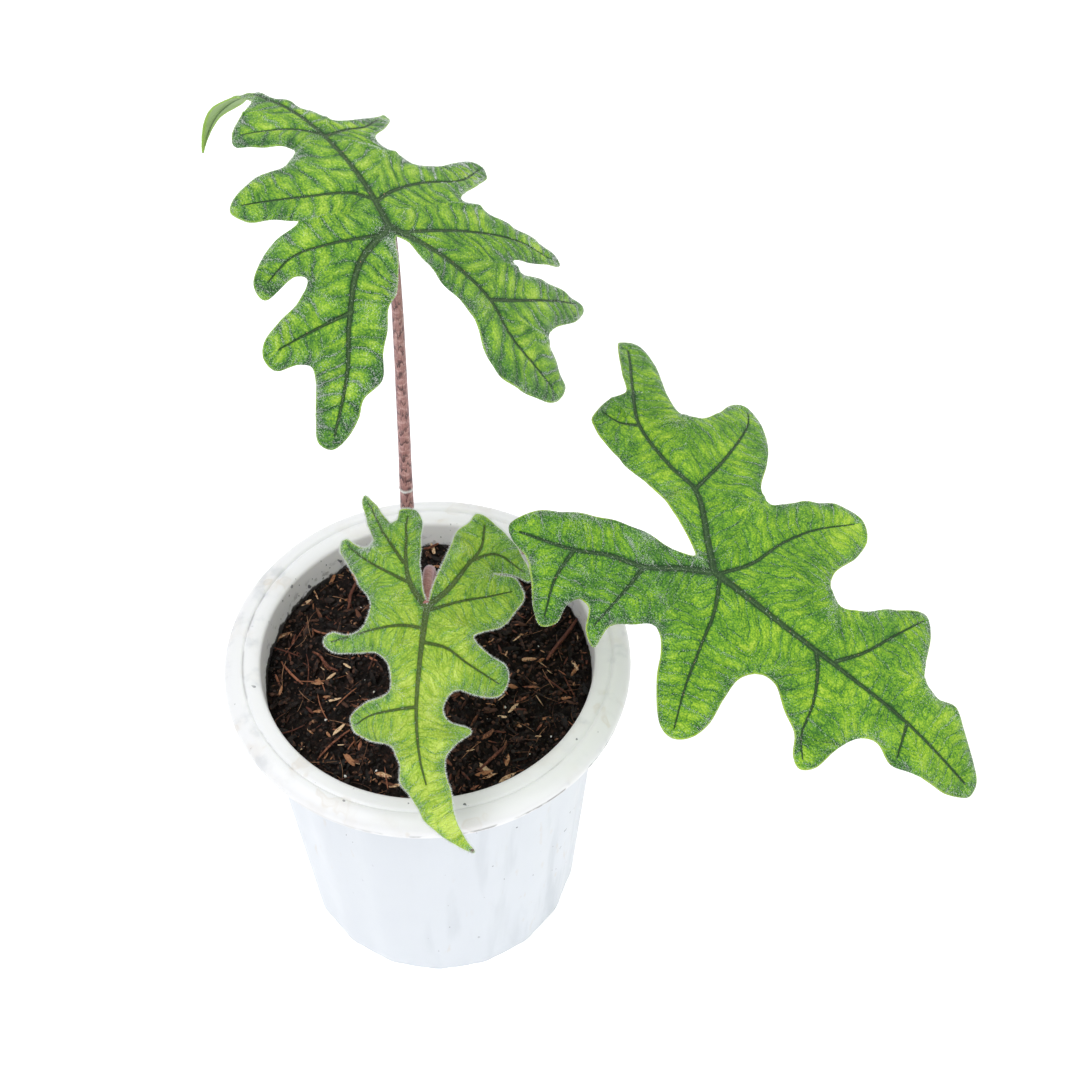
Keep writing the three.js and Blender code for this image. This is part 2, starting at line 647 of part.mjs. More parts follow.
// The blade is puffed up between its veins and rippled along its edge. Each vein lies in a low
// groove above and stands out as a rib below.
function bladeRelief(leaf, point, veins, edge) {
  const toMain = distanceToLines(point, veins.main);
  const toSide = distanceToLines(point, veins.side);
  const toEdge = distanceToLine(point, edge, true);
  const reach = Math.max(0, 1 - toEdge / RIPPLE_REACH);
  const wave = Math.sin((2 * Math.PI * (point[0] + 0.8 * point[1])) / leaf.ripple.length);
  const quilt = 1 - Math.exp(-Math.min(toMain, toSide) / QUILT_REACH);
  const puff = QUILT_HEIGHT * quilt * Math.min(1, toEdge / QUILT_REACH);
  const fade = Math.min(1, toEdge / RIB_FADE + 0.2);
  const onMain = toMain < VEIN_FLANK / 2;
  const onSide = toSide < VEIN_FLANK / 2;
  let rib = 0;
  if (onMain) rib = MAIN_RIB * fade;
  else if (onSide) rib = SIDE_RIB * fade;
  return {
    lift: puff + leaf.ripple.height * reach * reach * wave,
    rib,
    groove: onMain || onSide ? VEIN_GROOVE : 0,
  };
}

function bladeSolid(leaf, thickness) {
  const { points, triangles, edgeCount } = flatBlade(leaf);
  const edge = points.slice(0, edgeCount);
  const veins = {
    main: leaf.mainVeins.map((line) => openCurvePoints(line, VEIN_STEP)),
    side: leaf.sideVeins.map((line) => openCurvePoints(line, VEIN_STEP)),
  };
  const spare = (thickness - BLADE_THICKNESS) / 2;
  const above = [];
  const below = [];
  for (const point of points) {
    const place = bladePlace(leaf, point);
    const normal = bladeNormal(leaf, point);
    const { lift, rib, groove } = bladeRelief(leaf, point, veins, edge);
    above.push(place.clone().addScaledVector(normal, lift - groove + spare));
    below.push(place.clone().addScaledVector(normal, lift - BLADE_THICKNESS - rib - spare));
  }
  const corners = [];
  const add = (...vectors) => vectors.forEach((vector) => corners.push(vector.x, vector.y, vector.z));
  const turn = (t) => {
    const [a, b, c] = t.map((i) => points[i]);
    return (b[0] - a[0]) * (c[1] - a[1]) - (b[1] - a[1]) * (c[0] - a[0]) > 0;
  };
  for (const triangle of triangles) {
    const [i, j, k] = turn(triangle) ? triangle : [...triangle].reverse();
    add(above[i], above[j], above[k]);
    add(below[k], below[j], below[i]);
  }
  const area = edge.reduce((sum, [x, y], i) => {
    const [nx, ny] = edge[(i + 1) % edgeCount];
    return sum + x * ny - nx * y;
  }, 0);
  for (let i = 0; i < edgeCount; i += 1) {
    const next = (i + 1) % edgeCount;
    const [a, b] = area > 0 ? [i, next] : [next, i];
    add(above[b], above[a], below[a]);
    add(above[b], below[a], below[b]);
  }
  const geometry = new THREE.BufferGeometry();
  geometry.setAttribute('position', new THREE.Float32BufferAttribute(corners, 3));
  return toSolid(geometry);
}

function makeLeaf(name, leaf, finish) {
  return toMesh(name, toGeometry(bladeSolid(leaf, BLADE_THICKNESS)), finish);
}

// A stalk stops just under its blade, whose underside it follows.
function makeStalk(name, leaf) {
  const room = bladeSolid(leaf, BLADE_THICKNESS + 2 * CLEARANCE);
  const stalk = largestBody(stalkSolid(STALKS[name]).subtract(room));
  return toMesh(name, toGeometry(stalk), 'stalk');
}

const plant = new THREE.Group();
plant.add(
  makePot(),
  makeSoil(),
  makeCorm(),
  makeStalk('petiole_tall', LEAF_TALL),
  makeStalk('petiole_right', LEAF_RIGHT),
  makeStalk('petiole_front', LEAF_FRONT),
  makeLeaf('leaf_tall', LEAF_TALL, 'leaf'),
  makeLeaf('leaf_right', LEAF_RIGHT, 'leaf'),
  makeLeaf('leaf_front', LEAF_FRONT, 'youngLeaf'),
);

export default plant;
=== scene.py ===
"""A small potted jewel alocasia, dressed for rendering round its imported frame."""
import logging
import math
from dataclasses import dataclass
from enum import Enum
from functools import cache

import bpy
import numpy as np
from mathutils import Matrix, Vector, noise
from mathutils.geometry import delaunay_2d_cdt


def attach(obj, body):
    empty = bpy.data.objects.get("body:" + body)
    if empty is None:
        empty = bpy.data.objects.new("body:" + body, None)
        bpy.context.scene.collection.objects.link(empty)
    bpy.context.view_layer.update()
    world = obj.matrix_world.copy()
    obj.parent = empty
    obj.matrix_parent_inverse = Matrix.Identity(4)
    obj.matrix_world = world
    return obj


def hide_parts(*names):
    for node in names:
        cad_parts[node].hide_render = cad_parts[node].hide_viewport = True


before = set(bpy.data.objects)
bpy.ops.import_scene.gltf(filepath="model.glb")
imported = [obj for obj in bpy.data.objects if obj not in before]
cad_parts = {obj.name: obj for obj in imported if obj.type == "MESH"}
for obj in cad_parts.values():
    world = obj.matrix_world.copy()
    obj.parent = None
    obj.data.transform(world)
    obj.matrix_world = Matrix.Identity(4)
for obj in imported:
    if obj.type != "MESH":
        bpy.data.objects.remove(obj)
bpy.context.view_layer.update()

MM = 0.001
DEGREE = math.pi / 180
LOG = logging.getLogger("alocasia")

Pair = tuple[float, float]
Triple = tuple[float, float, float]
Colour = tuple[float, float, float, float]
Outline = list[Pair]

WHITE: Colour = (1.0, 1.0, 1.0, 1.0)
ROW_SPACING = 0.866  # rows of a triangular grid, as a share of the step along a row
UP = Vector((0, 0, 1))


class Face(Enum):
    """The side of a blade that a vertex belongs to, as its "under" value."""

    TOP = 0.0
    MARGIN = 0.5
    UNDER = 1.0


# Curves and distances


def ink(red: float, green: float, blue: float) -> Colour:
    """Turns a screen colour of 0 to 255 a channel into a linear one.

    Args:
        red: Red on the screen.
        green: Green on the screen.
        blue: Blue on the screen.

    Returns:
        The linear colour with full alpha.
    """
    shares = [value / 255 for value in (red, green, blue)]
    linear = [s / 12.92 if s <= 0.04045 else ((s + 0.055) / 1.055) ** 2.4 for s in shares]
    return (linear[0], linear[1], linear[2], 1.0)


def smooth_curve(corners: list, step: float, closed: bool = False) -> np.ndarray:
    """Runs a centripetal Catmull-Rom curve through corners and spaces points along it.

    Args:
        corners: The points that the curve goes through.
        step: Distance between the points given back.
        closed: Whether the curve runs back to its first corner.

    Returns:
        Evenly spaced points, one row each.
    """
    points = np.asarray(corners, float)
    if closed:
        ring = np.vstack([points[-1:], points, points[:2]])
    else:
        ring = np.vstack([2 * points[0] - points[1], points, 2 * points[-1] - points[-2]])
    share = np.linspace(0, 1, 20, endpoint=False)[:, None]
    spans = []
    for a, b, c, d in zip(ring, ring[1:], ring[2:], ring[3:]):
        before, here, after = (np.linalg.norm(q - p) ** 0.5 for p, q in ((a, b), (b, c), (c, d)))
        leave = ((b - a) / before - (c - a) / (before + here) + (c - b) / here) * here
        arrive = ((c - b) / here - (d - b) / (here + after) + (d - c) / after) * here
        square = -3 * b + 3 * c - 2 * leave - arrive
        cube = 2 * b - 2 * c + leave + arrive
        spans.append(b + leave * share + square * share**2 + cube * share**3)
    dense = np.vstack(spans + [points[:1] if closed else points[-1:]])
    travelled = np.concatenate([[0], np.cumsum(np.linalg.norm(np.diff(dense, axis=0), axis=1))])
    count = max(2, round(travelled[-1] / step))
    places = np.linspace(0, travelled[-1], count + 1)
    even = np.stack([np.interp(places, travelled, dense[:, i]) for i in range(dense.shape[1])], 1)
    return even[:-1] if closed else even


def measure_line(points: np.ndarray, line: np.ndarray) -> tuple[np.ndarray, np.ndarray, np.ndarray]:
    """Measures points against a flat line.

    Args:
        points: Flat points, one row each.
        line: The line's points.

    Returns:
        Each point's distance from the line, how far along the line its foot lies, and the side
        it is on, 1 for left and -1 for right.
    """
    start = line[:-1]
    run = line[1:] - start
    length = np.hypot(run[:, 0], run[:, 1])
    reach = np.concatenate([[0], np.cumsum(length)])
    distance = np.empty(len(points))
    along = np.empty(len(points))
    side = np.empty(len(points))
    for low in range(0, len(points), 4000):
        part = points[low : low + 4000]
        offset = part[:, None] - start[None]
        share = np.clip((offset * run).sum(-1) / length**2, 0, 1)
        gap = offset - share[..., None] * run
        away = np.hypot(gap[..., 0], gap[..., 1])
        best = away.argmin(1)
        rows = np.arange(len(part))
        distance[low : low + 4000] = away[rows, best]
        along[low : low + 4000] = reach[best] + share[rows, best] * length[best]
        near = offset[rows, best]
        turn = run[best, 0] * near[:, 1] - run[best, 1] * near[:, 0]
        side[low : low + 4000] = np.where(turn >= 0, 1, -1)
    return distance, along, side


def inside(points: np.ndarray, outline: np.ndarray) -> np.ndarray:
    """Tells which flat points lie inside a closed outline.

    Args:
        points: Flat points, one row each.
        outline: The outline's corners.

    Returns:
        One truth value for each point.
    """
    result = np.zeros(len(points), bool)
    nexts = np.roll(outline, -1, 0)
    for (ax, ay), (bx, by) in zip(outline, nexts):
        if ay == by:
            continue
        spans = (points[:, 1] < ay) != (points[:, 1] < by)
        cross = (bx - ax) * (points[:, 1] - ay) / (by - ay) + ax
        result ^= spans & (points[:, 0] < cross)
    return result


def ease(low: float, high: float, value: np.ndarray) -> np.ndarray:
    """Rises smoothly from 0 at low to 1 at high."""
    share = np.clip((value - low) / (high - low), 0, 1)
    return share * share * (3 - 2 * share)


def ripple_noise(points: np.ndarray, size: float, seed: float) -> np.ndarray:
    """Gives smooth noise from -1 to 1 at points, with patches of about the given size."""
    flat = points if points.shape[1] == 3 else np.column_stack([points, np.zeros(len(points))])
    return np.array([noise.noise(Vector(p) / size + Vector((seed, 0, seed))) for p in flat])


def triangulate(points: np.ndarray, joins: list[tuple[int, int]]) -> tuple[np.ndarray, np.ndarray]:
    """Joins flat points in triangles that all turn left.

    Args:
        points: Flat points, one row each.
        joins: Pairs of points that an edge has to join.

    Returns:
        The points and the triangles.
    """
    made, _, triangles, *_ = delaunay_2d_cdt([Vector(p) for p in points], joins, [], 1, 1e-4)
    flat = np.array([tuple(p) for p in made])
    triangles = np.array([t for t in triangles if len(t) == 3])
    a, b, c = (flat[triangles[:, i]] for i in range(3))
    turn = (b[:, 0] - a[:, 0]) * (c[:, 1] - a[:, 1]) - (b[:, 1] - a[:, 1]) * (c[:, 0] - a[:, 0])
    triangles[turn < 0] = triangles[turn < 0][:, ::-1]
    return flat, triangles


def rim_edges(triangles: np.ndarray) -> np.ndarray:
    """Finds the edges that only one triangle has.

    Args:
        triangles: Triangles that all turn the same way.

    Returns:
        Pairs of points, each in its triangle's direction.
    """
    sides = np.concatenate([triangles[:, [0, 1]], triangles[:, [1, 2]], triangles[:, [2, 0]]]).tolist()
    keys = {(a, b) for a, b in sides}
    return np.array([(a, b) for a, b in sides if (b, a) not in keys])


def read_points(mesh: bpy.types.Mesh) -> np.ndarray:
    """Reads a mesh's points in metres.

    Args:
        mesh: The mesh.

    Returns:
        Its points, one row each.
    """
    points = np.empty(len(mesh.vertices) * 3)
    mesh.vertices.foreach_get("co", points)
    return points.reshape(-1, 3)


def make_mesh(name: str, points: np.ndarray, faces: list[np.ndarray]) -> bpy.types.Object:
    """Makes a smooth object at the origin.

    Args:
        name: The piece's name.
        points: Its points in millimetres.
        faces: Arrays of faces, each array with one number of corners.

    Returns:
        The object, linked to the scene.
    """
    mesh = bpy.data.meshes.new(name)
    corners = np.concatenate([group.ravel() for group in faces]).astype(np.int32)
    sizes = np.concatenate([np.full(len(group), group.shape[1]) for group in faces]).astype(np.int32)
    starts = np.concatenate([[0], np.cumsum(sizes)[:-1]]).astype(np.int32)
    mesh.vertices.add(len(points))
    mesh.vertices.foreach_set("co", (points * MM).astype(np.float32).ravel())
    mesh.loops.add(len(corners))
    mesh.loops.foreach_set("vertex_index", corners)
    mesh.polygons.add(len(sizes))
    mesh.polygons.foreach_set("loop_start", starts)
    mesh.update(calc_edges=True)
    mesh.validate()
    mesh.shade_smooth()
    piece = bpy.data.objects.new(name, mesh)
    bpy.context.scene.collection.objects.link(piece)
    return piece


def set_value(piece: bpy.types.Object, name: str, values: np.ndarray) -> None:
    """Stores one number for each vertex of a piece."""
    layer = piece.data.attributes.new(name, "FLOAT", "POINT")
    layer.data.foreach_set("value", np.asarray(values, np.float32))


def set_map(piece: bpy.types.Object, name: str, places: np.ndarray) -> None:
    """Stores a UV map with one place for each face corner of a piece."""
    layer = piece.data.uv_layers.new(name=name)
    layer.data.foreach_set("uv", np.asarray(places, np.float32).ravel())


def finish_piece(piece: bpy.types.Object, material: bpy.types.Material) -> None:
    """Gives a piece its material, and lets it ride on the object's one body.

    Args:
        piece: The piece.
        material: Its material.
    """
    piece.data.materials.clear()
    piece.data.materials.append(material)
    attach(piece, "root")


# Shader building


@dataclass(frozen=True)
class Value:
    """A node's output that sums are written with: each operator adds a Math node."""

    nodes: "Nodes"
    socket: bpy.types.NodeSocket

    def __add__(self, other: object) -> "Value":
        """Adds a value or number."""
        return self.nodes.math("ADD", self, other)

    def __sub__(self, other: object) -> "Value":
        """Takes a value or number away."""
        return self.nodes.math("SUBTRACT", self, other)

    def __rsub__(self, other: object) -> "Value":
        """Takes this value away from a number: 1.0 - mask turns a mask round."""
        return self.nodes.math("SUBTRACT", other, self)

    def __mul__(self, other: object) -> "Value":
        """Multiplies by a value or number."""
        return self.nodes.math("MULTIPLY", self, other)

    def __truediv__(self, other: object) -> "Value":
        """Divides by a value or number."""
        return self.nodes.math("DIVIDE", self, other)

    def __abs__(self) -> "Value":
        """Drops the sign."""
        return self.nodes.math("ABSOLUTE", self)


@dataclass(frozen=True)
class Outputs:
    """A node's outputs, read by name."""

    nodes: "Nodes"
    sockets: bpy.types.NodeOutputs

    def __getitem__(self, name: str) -> Value:
        """Gives the named output."""
        return Value(self.nodes, self.sockets[name])

    def pick(self, *names: str) -> dict[str, Value]:
        """Gives several outputs by name, to be handed on to another effect."""
        return {name: self[name] for name in names}


class Nodes:
    """A node tree in the making, with short calls for the nodes that the finishes use."""

    tree: bpy.types.NodeTree

    def plug(self, value: object, socket: bpy.types.NodeSocket) -> None:
        """Links a value into a socket, or sets the socket to a number, colour or vector.

        Args:
            value: The value, number, colour or vector.
            socket: The input that takes it.
        """
        if isinstance(value, Value):
            self.tree.links.new(value.socket, socket)
        else:
            socket.default_value = value

    def node(self, kind: str, inputs: dict, output: int | str = 0, **settings: object) -> Value:
        """Adds a node.

        Args:
            kind: The node type without its ShaderNode prefix.
            inputs: Socket name or number to what it takes.
            output: Name or number of the output wanted.
            settings: Attributes of the node.

        Returns:
            The wanted output.
        """
        made = self.tree.nodes.new("ShaderNode" + kind)
        for key, value in settings.items():
            setattr(made, key, value)
        for key, value in inputs.items():
            self.plug(value, made.inputs[key])
        return Value(self, made.outputs[output])

    def effect(self, group: bpy.types.NodeTree, inputs: dict) -> Outputs:
        """Places a shared effect with this tree's own values.

        Args:
            group: The effect's node group.
            inputs: The group's input name to what it takes.

        Returns:
            The effect's outputs, to be read by name.
        """
        made = self.tree.nodes.new("ShaderNodeGroup")
        made.node_tree = group
        for key, value in inputs.items():
            self.plug(value, made.inputs[key])
        return Outputs(self, made.outputs)

    def math(self, operation: str, first: object, second: object = 0.0) -> Value:
        """Adds a Math node."""
        return self.node("Math", {0: first, 1: second}, operation=operation)

    def ramp(self, value: object, low: object, high: object) -> Value:
        """Rises smoothly from 0 where value is low to 1 where it is high."""
        inputs = {"Value": value, "From Min": low, "From Max": high}
        return self.node("MapRange", inputs, interpolation_type="SMOOTHSTEP")

    def mix(self, mask: object, first: object, second: object) -> Value:
        """Goes from the first colour to the second where the mask is 1."""
        return self.node("Mix", {0: mask, 6: first, 7: second}, output=2, data_type="RGBA")

    def layers(self, colour: object, *tints: tuple[Value, Colour]) -> Value:
        """Lays tints over a colour.

        Args:
            colour: The colour underneath.
            tints: A mask and a tint each, the lowest first.

        Returns:
            The colour with all the tints on it.
        """
        for mask, tint in tints:
            colour = self.mix(mask, colour, tint)
        return colour

    def colours(self, value: Value, places: list[float], tones: tuple[Colour, ...]) -> Value:
        """Runs a value through a ramp of colours.

        Args:
            value: The value to colour.
            places: Where on the ramp each colour stands.
            tones: The colours.

        Returns:
            The ramp's colour.
        """
        made = self.node("ValToRGB", {0: value})
        stops = made.socket.node.color_ramp.elements
        while len(stops) < len(places):
            stops.new(0.5)
        for stop, place, tone in zip(stops, places, tones):
            stop.position = place
            stop.color = tone
        return made

    def noise(self, place: Value, scale: object, detail: float) -> Value:
        """Adds a Noise texture."""
        return self.node("TexNoise", {"Vector": place, "Scale": scale, "Detail": detail})

    def cells(self, place: Value) -> Value:
        """Gives the distance from the borders of uneven cells."""
        return self.node("TexVoronoi", {"Vector": place, "Scale": 1.0}, feature="DISTANCE_TO_EDGE")

    def shaken(self, place: Value, scale: float, amount: float) -> Value:
        """Shifts a place unevenly.

        Args:
            place: The place to shift.
            scale: How finely the shift changes.
            amount: Twice the largest shift.

        Returns:
            The shifted place.
        """
        shift = self.node("TexNoise", {"Vector": place, "Scale": scale, "Detail": 1.0}, output="Color")
        shift = self.node("VectorMath", {0: shift, 1: (0.5, 0.5, 0.5)}, operation="SUBTRACT")
        inputs = {0: shift, 1: (amount, amount, amount), 2: place}
        return self.node("VectorMath", inputs, operation="MULTIPLY_ADD")

    def attribute(self, name: str) -> Value:
        """Reads a number stored on the mesh."""
        return self.node("Attribute", {}, output="Fac", attribute_name=name)

    def stretch(self, vector: Value, factors: object) -> Value:
        """Scales a vector along its axes."""
        return self.node("VectorMath", {0: vector, 1: factors}, operation="MULTIPLY")

    def join(self, x: object, y: object, z: object) -> Value:
        """Makes a vector of three values."""
        return self.node("CombineXYZ", {0: x, 1: y, 2: z})

    def split(self, vector: Value) -> list[Value]:
        """Gives the three values of a vector."""
        first = self.node("SeparateXYZ", {0: vector})
        return [Value(self, socket) for socket in first.socket.node.outputs]

    def object_place(self) -> Value:
        """Reads the place on the object, in metres."""
        return self.node("TexCoord", {}, output="Object")

    def uv(self, name: str) -> Value:
        """Reads one of the piece's UV maps."""
        return self.node("UVMap", {}, uv_map=name)

    def bump(self, height: Value, strength: float, distance: float) -> Value:
        """Turns a height into a normal, with distance in millimetres."""
        return self.node("Bump", {"Height": height, "Strength": strength, "Distance": distance * MM})


class Shader(Nodes):
    """A material in the making."""

    def __init__(self, name: str) -> None:
        """Starts an empty Principled material.

        Args:
            name: The material's name.
        """
        self.material = bpy.data.materials.new(name)
        self.material.use_nodes = True
        self.tree = self.material.node_tree
        self.tree.nodes.clear()
        self.shader = self.tree.nodes.new("ShaderNodeBsdfPrincipled")
        output = self.tree.nodes.new("ShaderNodeOutputMaterial")
        self.tree.links.new(self.shader.outputs[0], output.inputs[0])

    def set(self, **sockets: object) -> bpy.types.Material:
        """Sets or links the Principled sockets, named with _ for a space.

        Args:
            sockets: Socket name to what it takes.

        Returns:
            The finished material.
        """
        for key, value in sockets.items():
            self.plug(value, self.shader.inputs[key.replace("_", " ")])
        return self.material


class Effect(Nodes):
    """A node group in the making: an effect that several materials place with their own values."""

    def __init__(self, name: str, vectors: list[str], values: list[str]) -> None:
        """Starts an empty group.

        Args:
            name: The group's name.
            vectors: Names of its vector inputs.
            values: Names of its number inputs.
        """
        self.tree = bpy.data.node_groups.new(name, "ShaderNodeTree")
        for key in vectors:
            self.tree.interface.new_socket(name=key, in_out="INPUT", socket_type="NodeSocketVector")
        for key in values:
            self.tree.interface.new_socket(name=key, in_out="INPUT", socket_type="NodeSocketFloat")
        self.given = Outputs(self, self.tree.nodes.new("NodeGroupInput").outputs)

    def finish(self, **results: Value) -> bpy.types.NodeTree:
        """Names the results as the group's outputs, with a space for each _.

        Args:
            results: Output name to its value.

        Returns:
            The finished group.
        """
        named = {key.replace("_", " "): value for key, value in results.items()}
        for key in named:
            self.tree.interface.new_socket(name=key, in_out="OUTPUT", socket_type="NodeSocketFloat")
        end = self.tree.nodes.new("NodeGroupOutput")
        for key, value in named.items():
            self.plug(value, end.inputs[key])
        return self.tree


# Leaf finish


@cache
def blade_bands() -> bpy.types.NodeTree:
    """Builds the quilted tone of a blade: cross veins, pale cells, net, streaks and dark margin.

    Returns:
        The node group.
    """
    values = ["Edge", "Seam", "Shade", "Period", "Base Tone", "Band Depth", "Line Width", "Patch Depth"]
    values += ["Edge Reach", "Edge Depth", "Streak", "Net", "Grain"]
    made = Effect("blade_bands", ["Bands", "Flat"], values)
    given = made.given
    phase = made.split(given["Bands"])[0]
    turn = abs(made.math("FRACT", phase + 0.5) - 0.5)
    near = turn * 2.0
    half = abs(made.math("FRACT", phase * 2.0 + 0.5) - 0.5)
    in_band = made.stretch(given["Bands"], made.join(given["Period"], 10.0, 0.0))
    patch = made.noise(made.stretch(in_band, (0.14, 0.11, 0.0)), 1.0, 2.0)
    broad = made.noise(given["Flat"], 5.5, 2.0)
    fleck = made.noise(given["Flat"], 60.0, 3.0)
    pores = made.noise(given["Flat"], 165.0, 1.0)
    streak = made.noise(made.stretch(in_band, (1.25, 0.30, 0.0)), 1.0, 4.0)
    fold = made.noise(made.stretch(in_band, (0.75, 0.16, 0.0)), 1.0, 2.0)
    uneven = made.shaken(made.stretch(in_band, (0.52, 0.34, 0.0)), 1.4, 0.7)
    net = 1.0 - made.ramp(made.cells(uneven), 0.01, 0.13)
    fine_net = 1.0 - made.ramp(made.cells(made.stretch(in_band, (1.9, 1.2, 0.0))), 0.0, 0.12)

    reach = (patch + 0.45) * given["Line Width"]
    line = 1.0 - made.ramp(near / reach, 0.0, 1.0)
    shown = made.ramp(made.noise(made.stretch(in_band, (0.21, 0.11, 0.0)), 1.7, 1.0), 0.36, 0.56)
    shown = (shown * 0.75 + 0.25) * made.ramp(given["Seam"], 0.4, 3.0)
    line = line * shown
    small = (1.0 - made.ramp(half, 0.0, 0.14)) * made.ramp(fold, 0.48, 0.62)
    puff = made.ramp(near, 0.0, 1.0)
    pale = (patch - 0.5) * 2.2 + (broad - 0.5)
    tone = given["Base Tone"] + given["Shade"]
    tone = tone + pale * (given["Patch Depth"] * (puff * 0.6 + 0.5))
    tone = tone + (puff - 0.5) * (given["Band Depth"] * 0.34)
    tone = tone - line * given["Band Depth"]
    tone = tone - small * (given["Band Depth"] * 0.5)
    tone = tone - net * (fold + 0.2) * given["Net"]
    tone = tone - fine_net * (given["Net"] * 0.4)
    at_edge = given["Edge"] + (patch - 0.5) * given["Edge Reach"]
    at_edge = 1.0 - made.ramp(at_edge, 0.4, given["Edge Reach"])
    tone = tone - at_edge * given["Edge Depth"]
    tone = tone + (streak - 0.5) * (given["Streak"] * 2.0)
    tone = tone + (fleck - 0.5) * given["Streak"]
    tone = tone + (pores - 0.5) * given["Grain"]
    return made.finish(
        Tone=tone, Puff=puff, Line=line, Streak=streak, Fold=fold, Net=net, Fine_Net=fine_net, Fleck=fleck,
        Broad=broad, Pores=pores,
    )


@cache
def blade_veins() -> bpy.types.NodeTree:
    """Builds the masks of the large veins: body, dotted dark flanks, pale core, shade beside.

    Returns:
        The node group.
    """
    made = Effect("blade_veins", [], ["Rib", "Fleck"])
    rib, fleck = made.given["Rib"], made.given["Fleck"]
    torn = made.ramp(fleck, 0.38, 0.62)
    body = 1.0 - made.ramp(rib, 0.65, 1.3)
    flank = 1.0 - made.ramp(abs(rib - 0.78), 0.05, 0.34)
    core = (1.0 - made.ramp(rib, 0.1, 0.5)) * torn
    beside = 1.0 - made.ramp(rib, 1.0, 2.4)
    return made.finish(Body=body, Flank=flank * torn, Core=core, Beside=beside)


@cache
def blade_marks() -> bpy.types.NodeTree:
    """Builds the masks of a blade's small marks: frost, painted highlights on the wrinkle streaks, pale
    margin, dry dots and dry tip.

    Returns:
        The node group.
    """
    made = Effect("blade_marks", ["Flat"], ["Edge", "Rib", "Shade", "Line", "Puff", "Streak", "Broad"])
    given = made.given
    sparks = made.noise(given["Flat"], 205.0, 1.0)
    shaded = made.ramp(given["Shade"], 0.0, -0.12) * (1.0 - given["Puff"] * 0.9)
    near_edge = 1.0 - made.ramp(given["Edge"], 0.5, 7.0)
    frosted = given["Line"] + (near_edge * 0.6 + shaded) + 0.12
    dots = made.ramp(made.noise(given["Flat"], 140.0, 0.0), 0.80, 0.83)
    return made.finish(
        Frost=made.ramp(sparks, 0.56, 0.68) * made.ramp(frosted, 0.0, 1.0),
        # painted highlight: pale flecks on the wrinkle streaks, broken up by fine sparks
        Glint=made.ramp(given["Streak"], 0.55, 0.66) * made.ramp(sparks, 0.50, 0.60),
        Margin=(1.0 - made.ramp(given["Edge"], 0.1, 0.5)) * made.ramp(given["Broad"], 0.36, 0.56),
        Dots=dots * (1.0 - made.ramp(given["Rib"], 1.2, 3.0)),
        Tip=made.ramp(given["Shade"], -0.6, -1.3),
    )


@cache
def blade_height() -> bpy.types.NodeTree:
    """Builds the height of a blade's wrinkles, net, cells and vein ridges.

    Returns:
        The node group.
    """
    values = ["Streak", "Fold", "Net", "Fine Net", "Fleck", "Puff", "Rib", "Plain", "Wrinkle"]
    made = Effect("blade_height", [], values)
    given = made.given
    wrinkles = given["Streak"] + given["Fold"] * 1.3 - given["Net"] * 0.45 - given["Fine Net"] * 0.3
    wrinkles = (wrinkles + given["Fleck"] * 0.5) * given["Wrinkle"]
    height = (wrinkles + given["Puff"] * 0.5) * (given["Plain"] * 0.85 + 0.15)
    ridge = 1.0 - made.ramp(given["Rib"], 0.0, 0.55)
    trench = 1.0 - made.ramp(given["Rib"], 0.5, 1.3)
    return made.finish(Height=height + (ridge * 0.7 - trench))


# painted highlight: the pale tint of the highlights painted into the leaf colour
PAINTED_GLINT_TONE = ink(226, 242, 200)
FROST_TONE = ink(206, 228, 200)
DRY_DOT_TONE = ink(206, 166, 132)
DRY_TIP_TONE = ink(104, 66, 30)


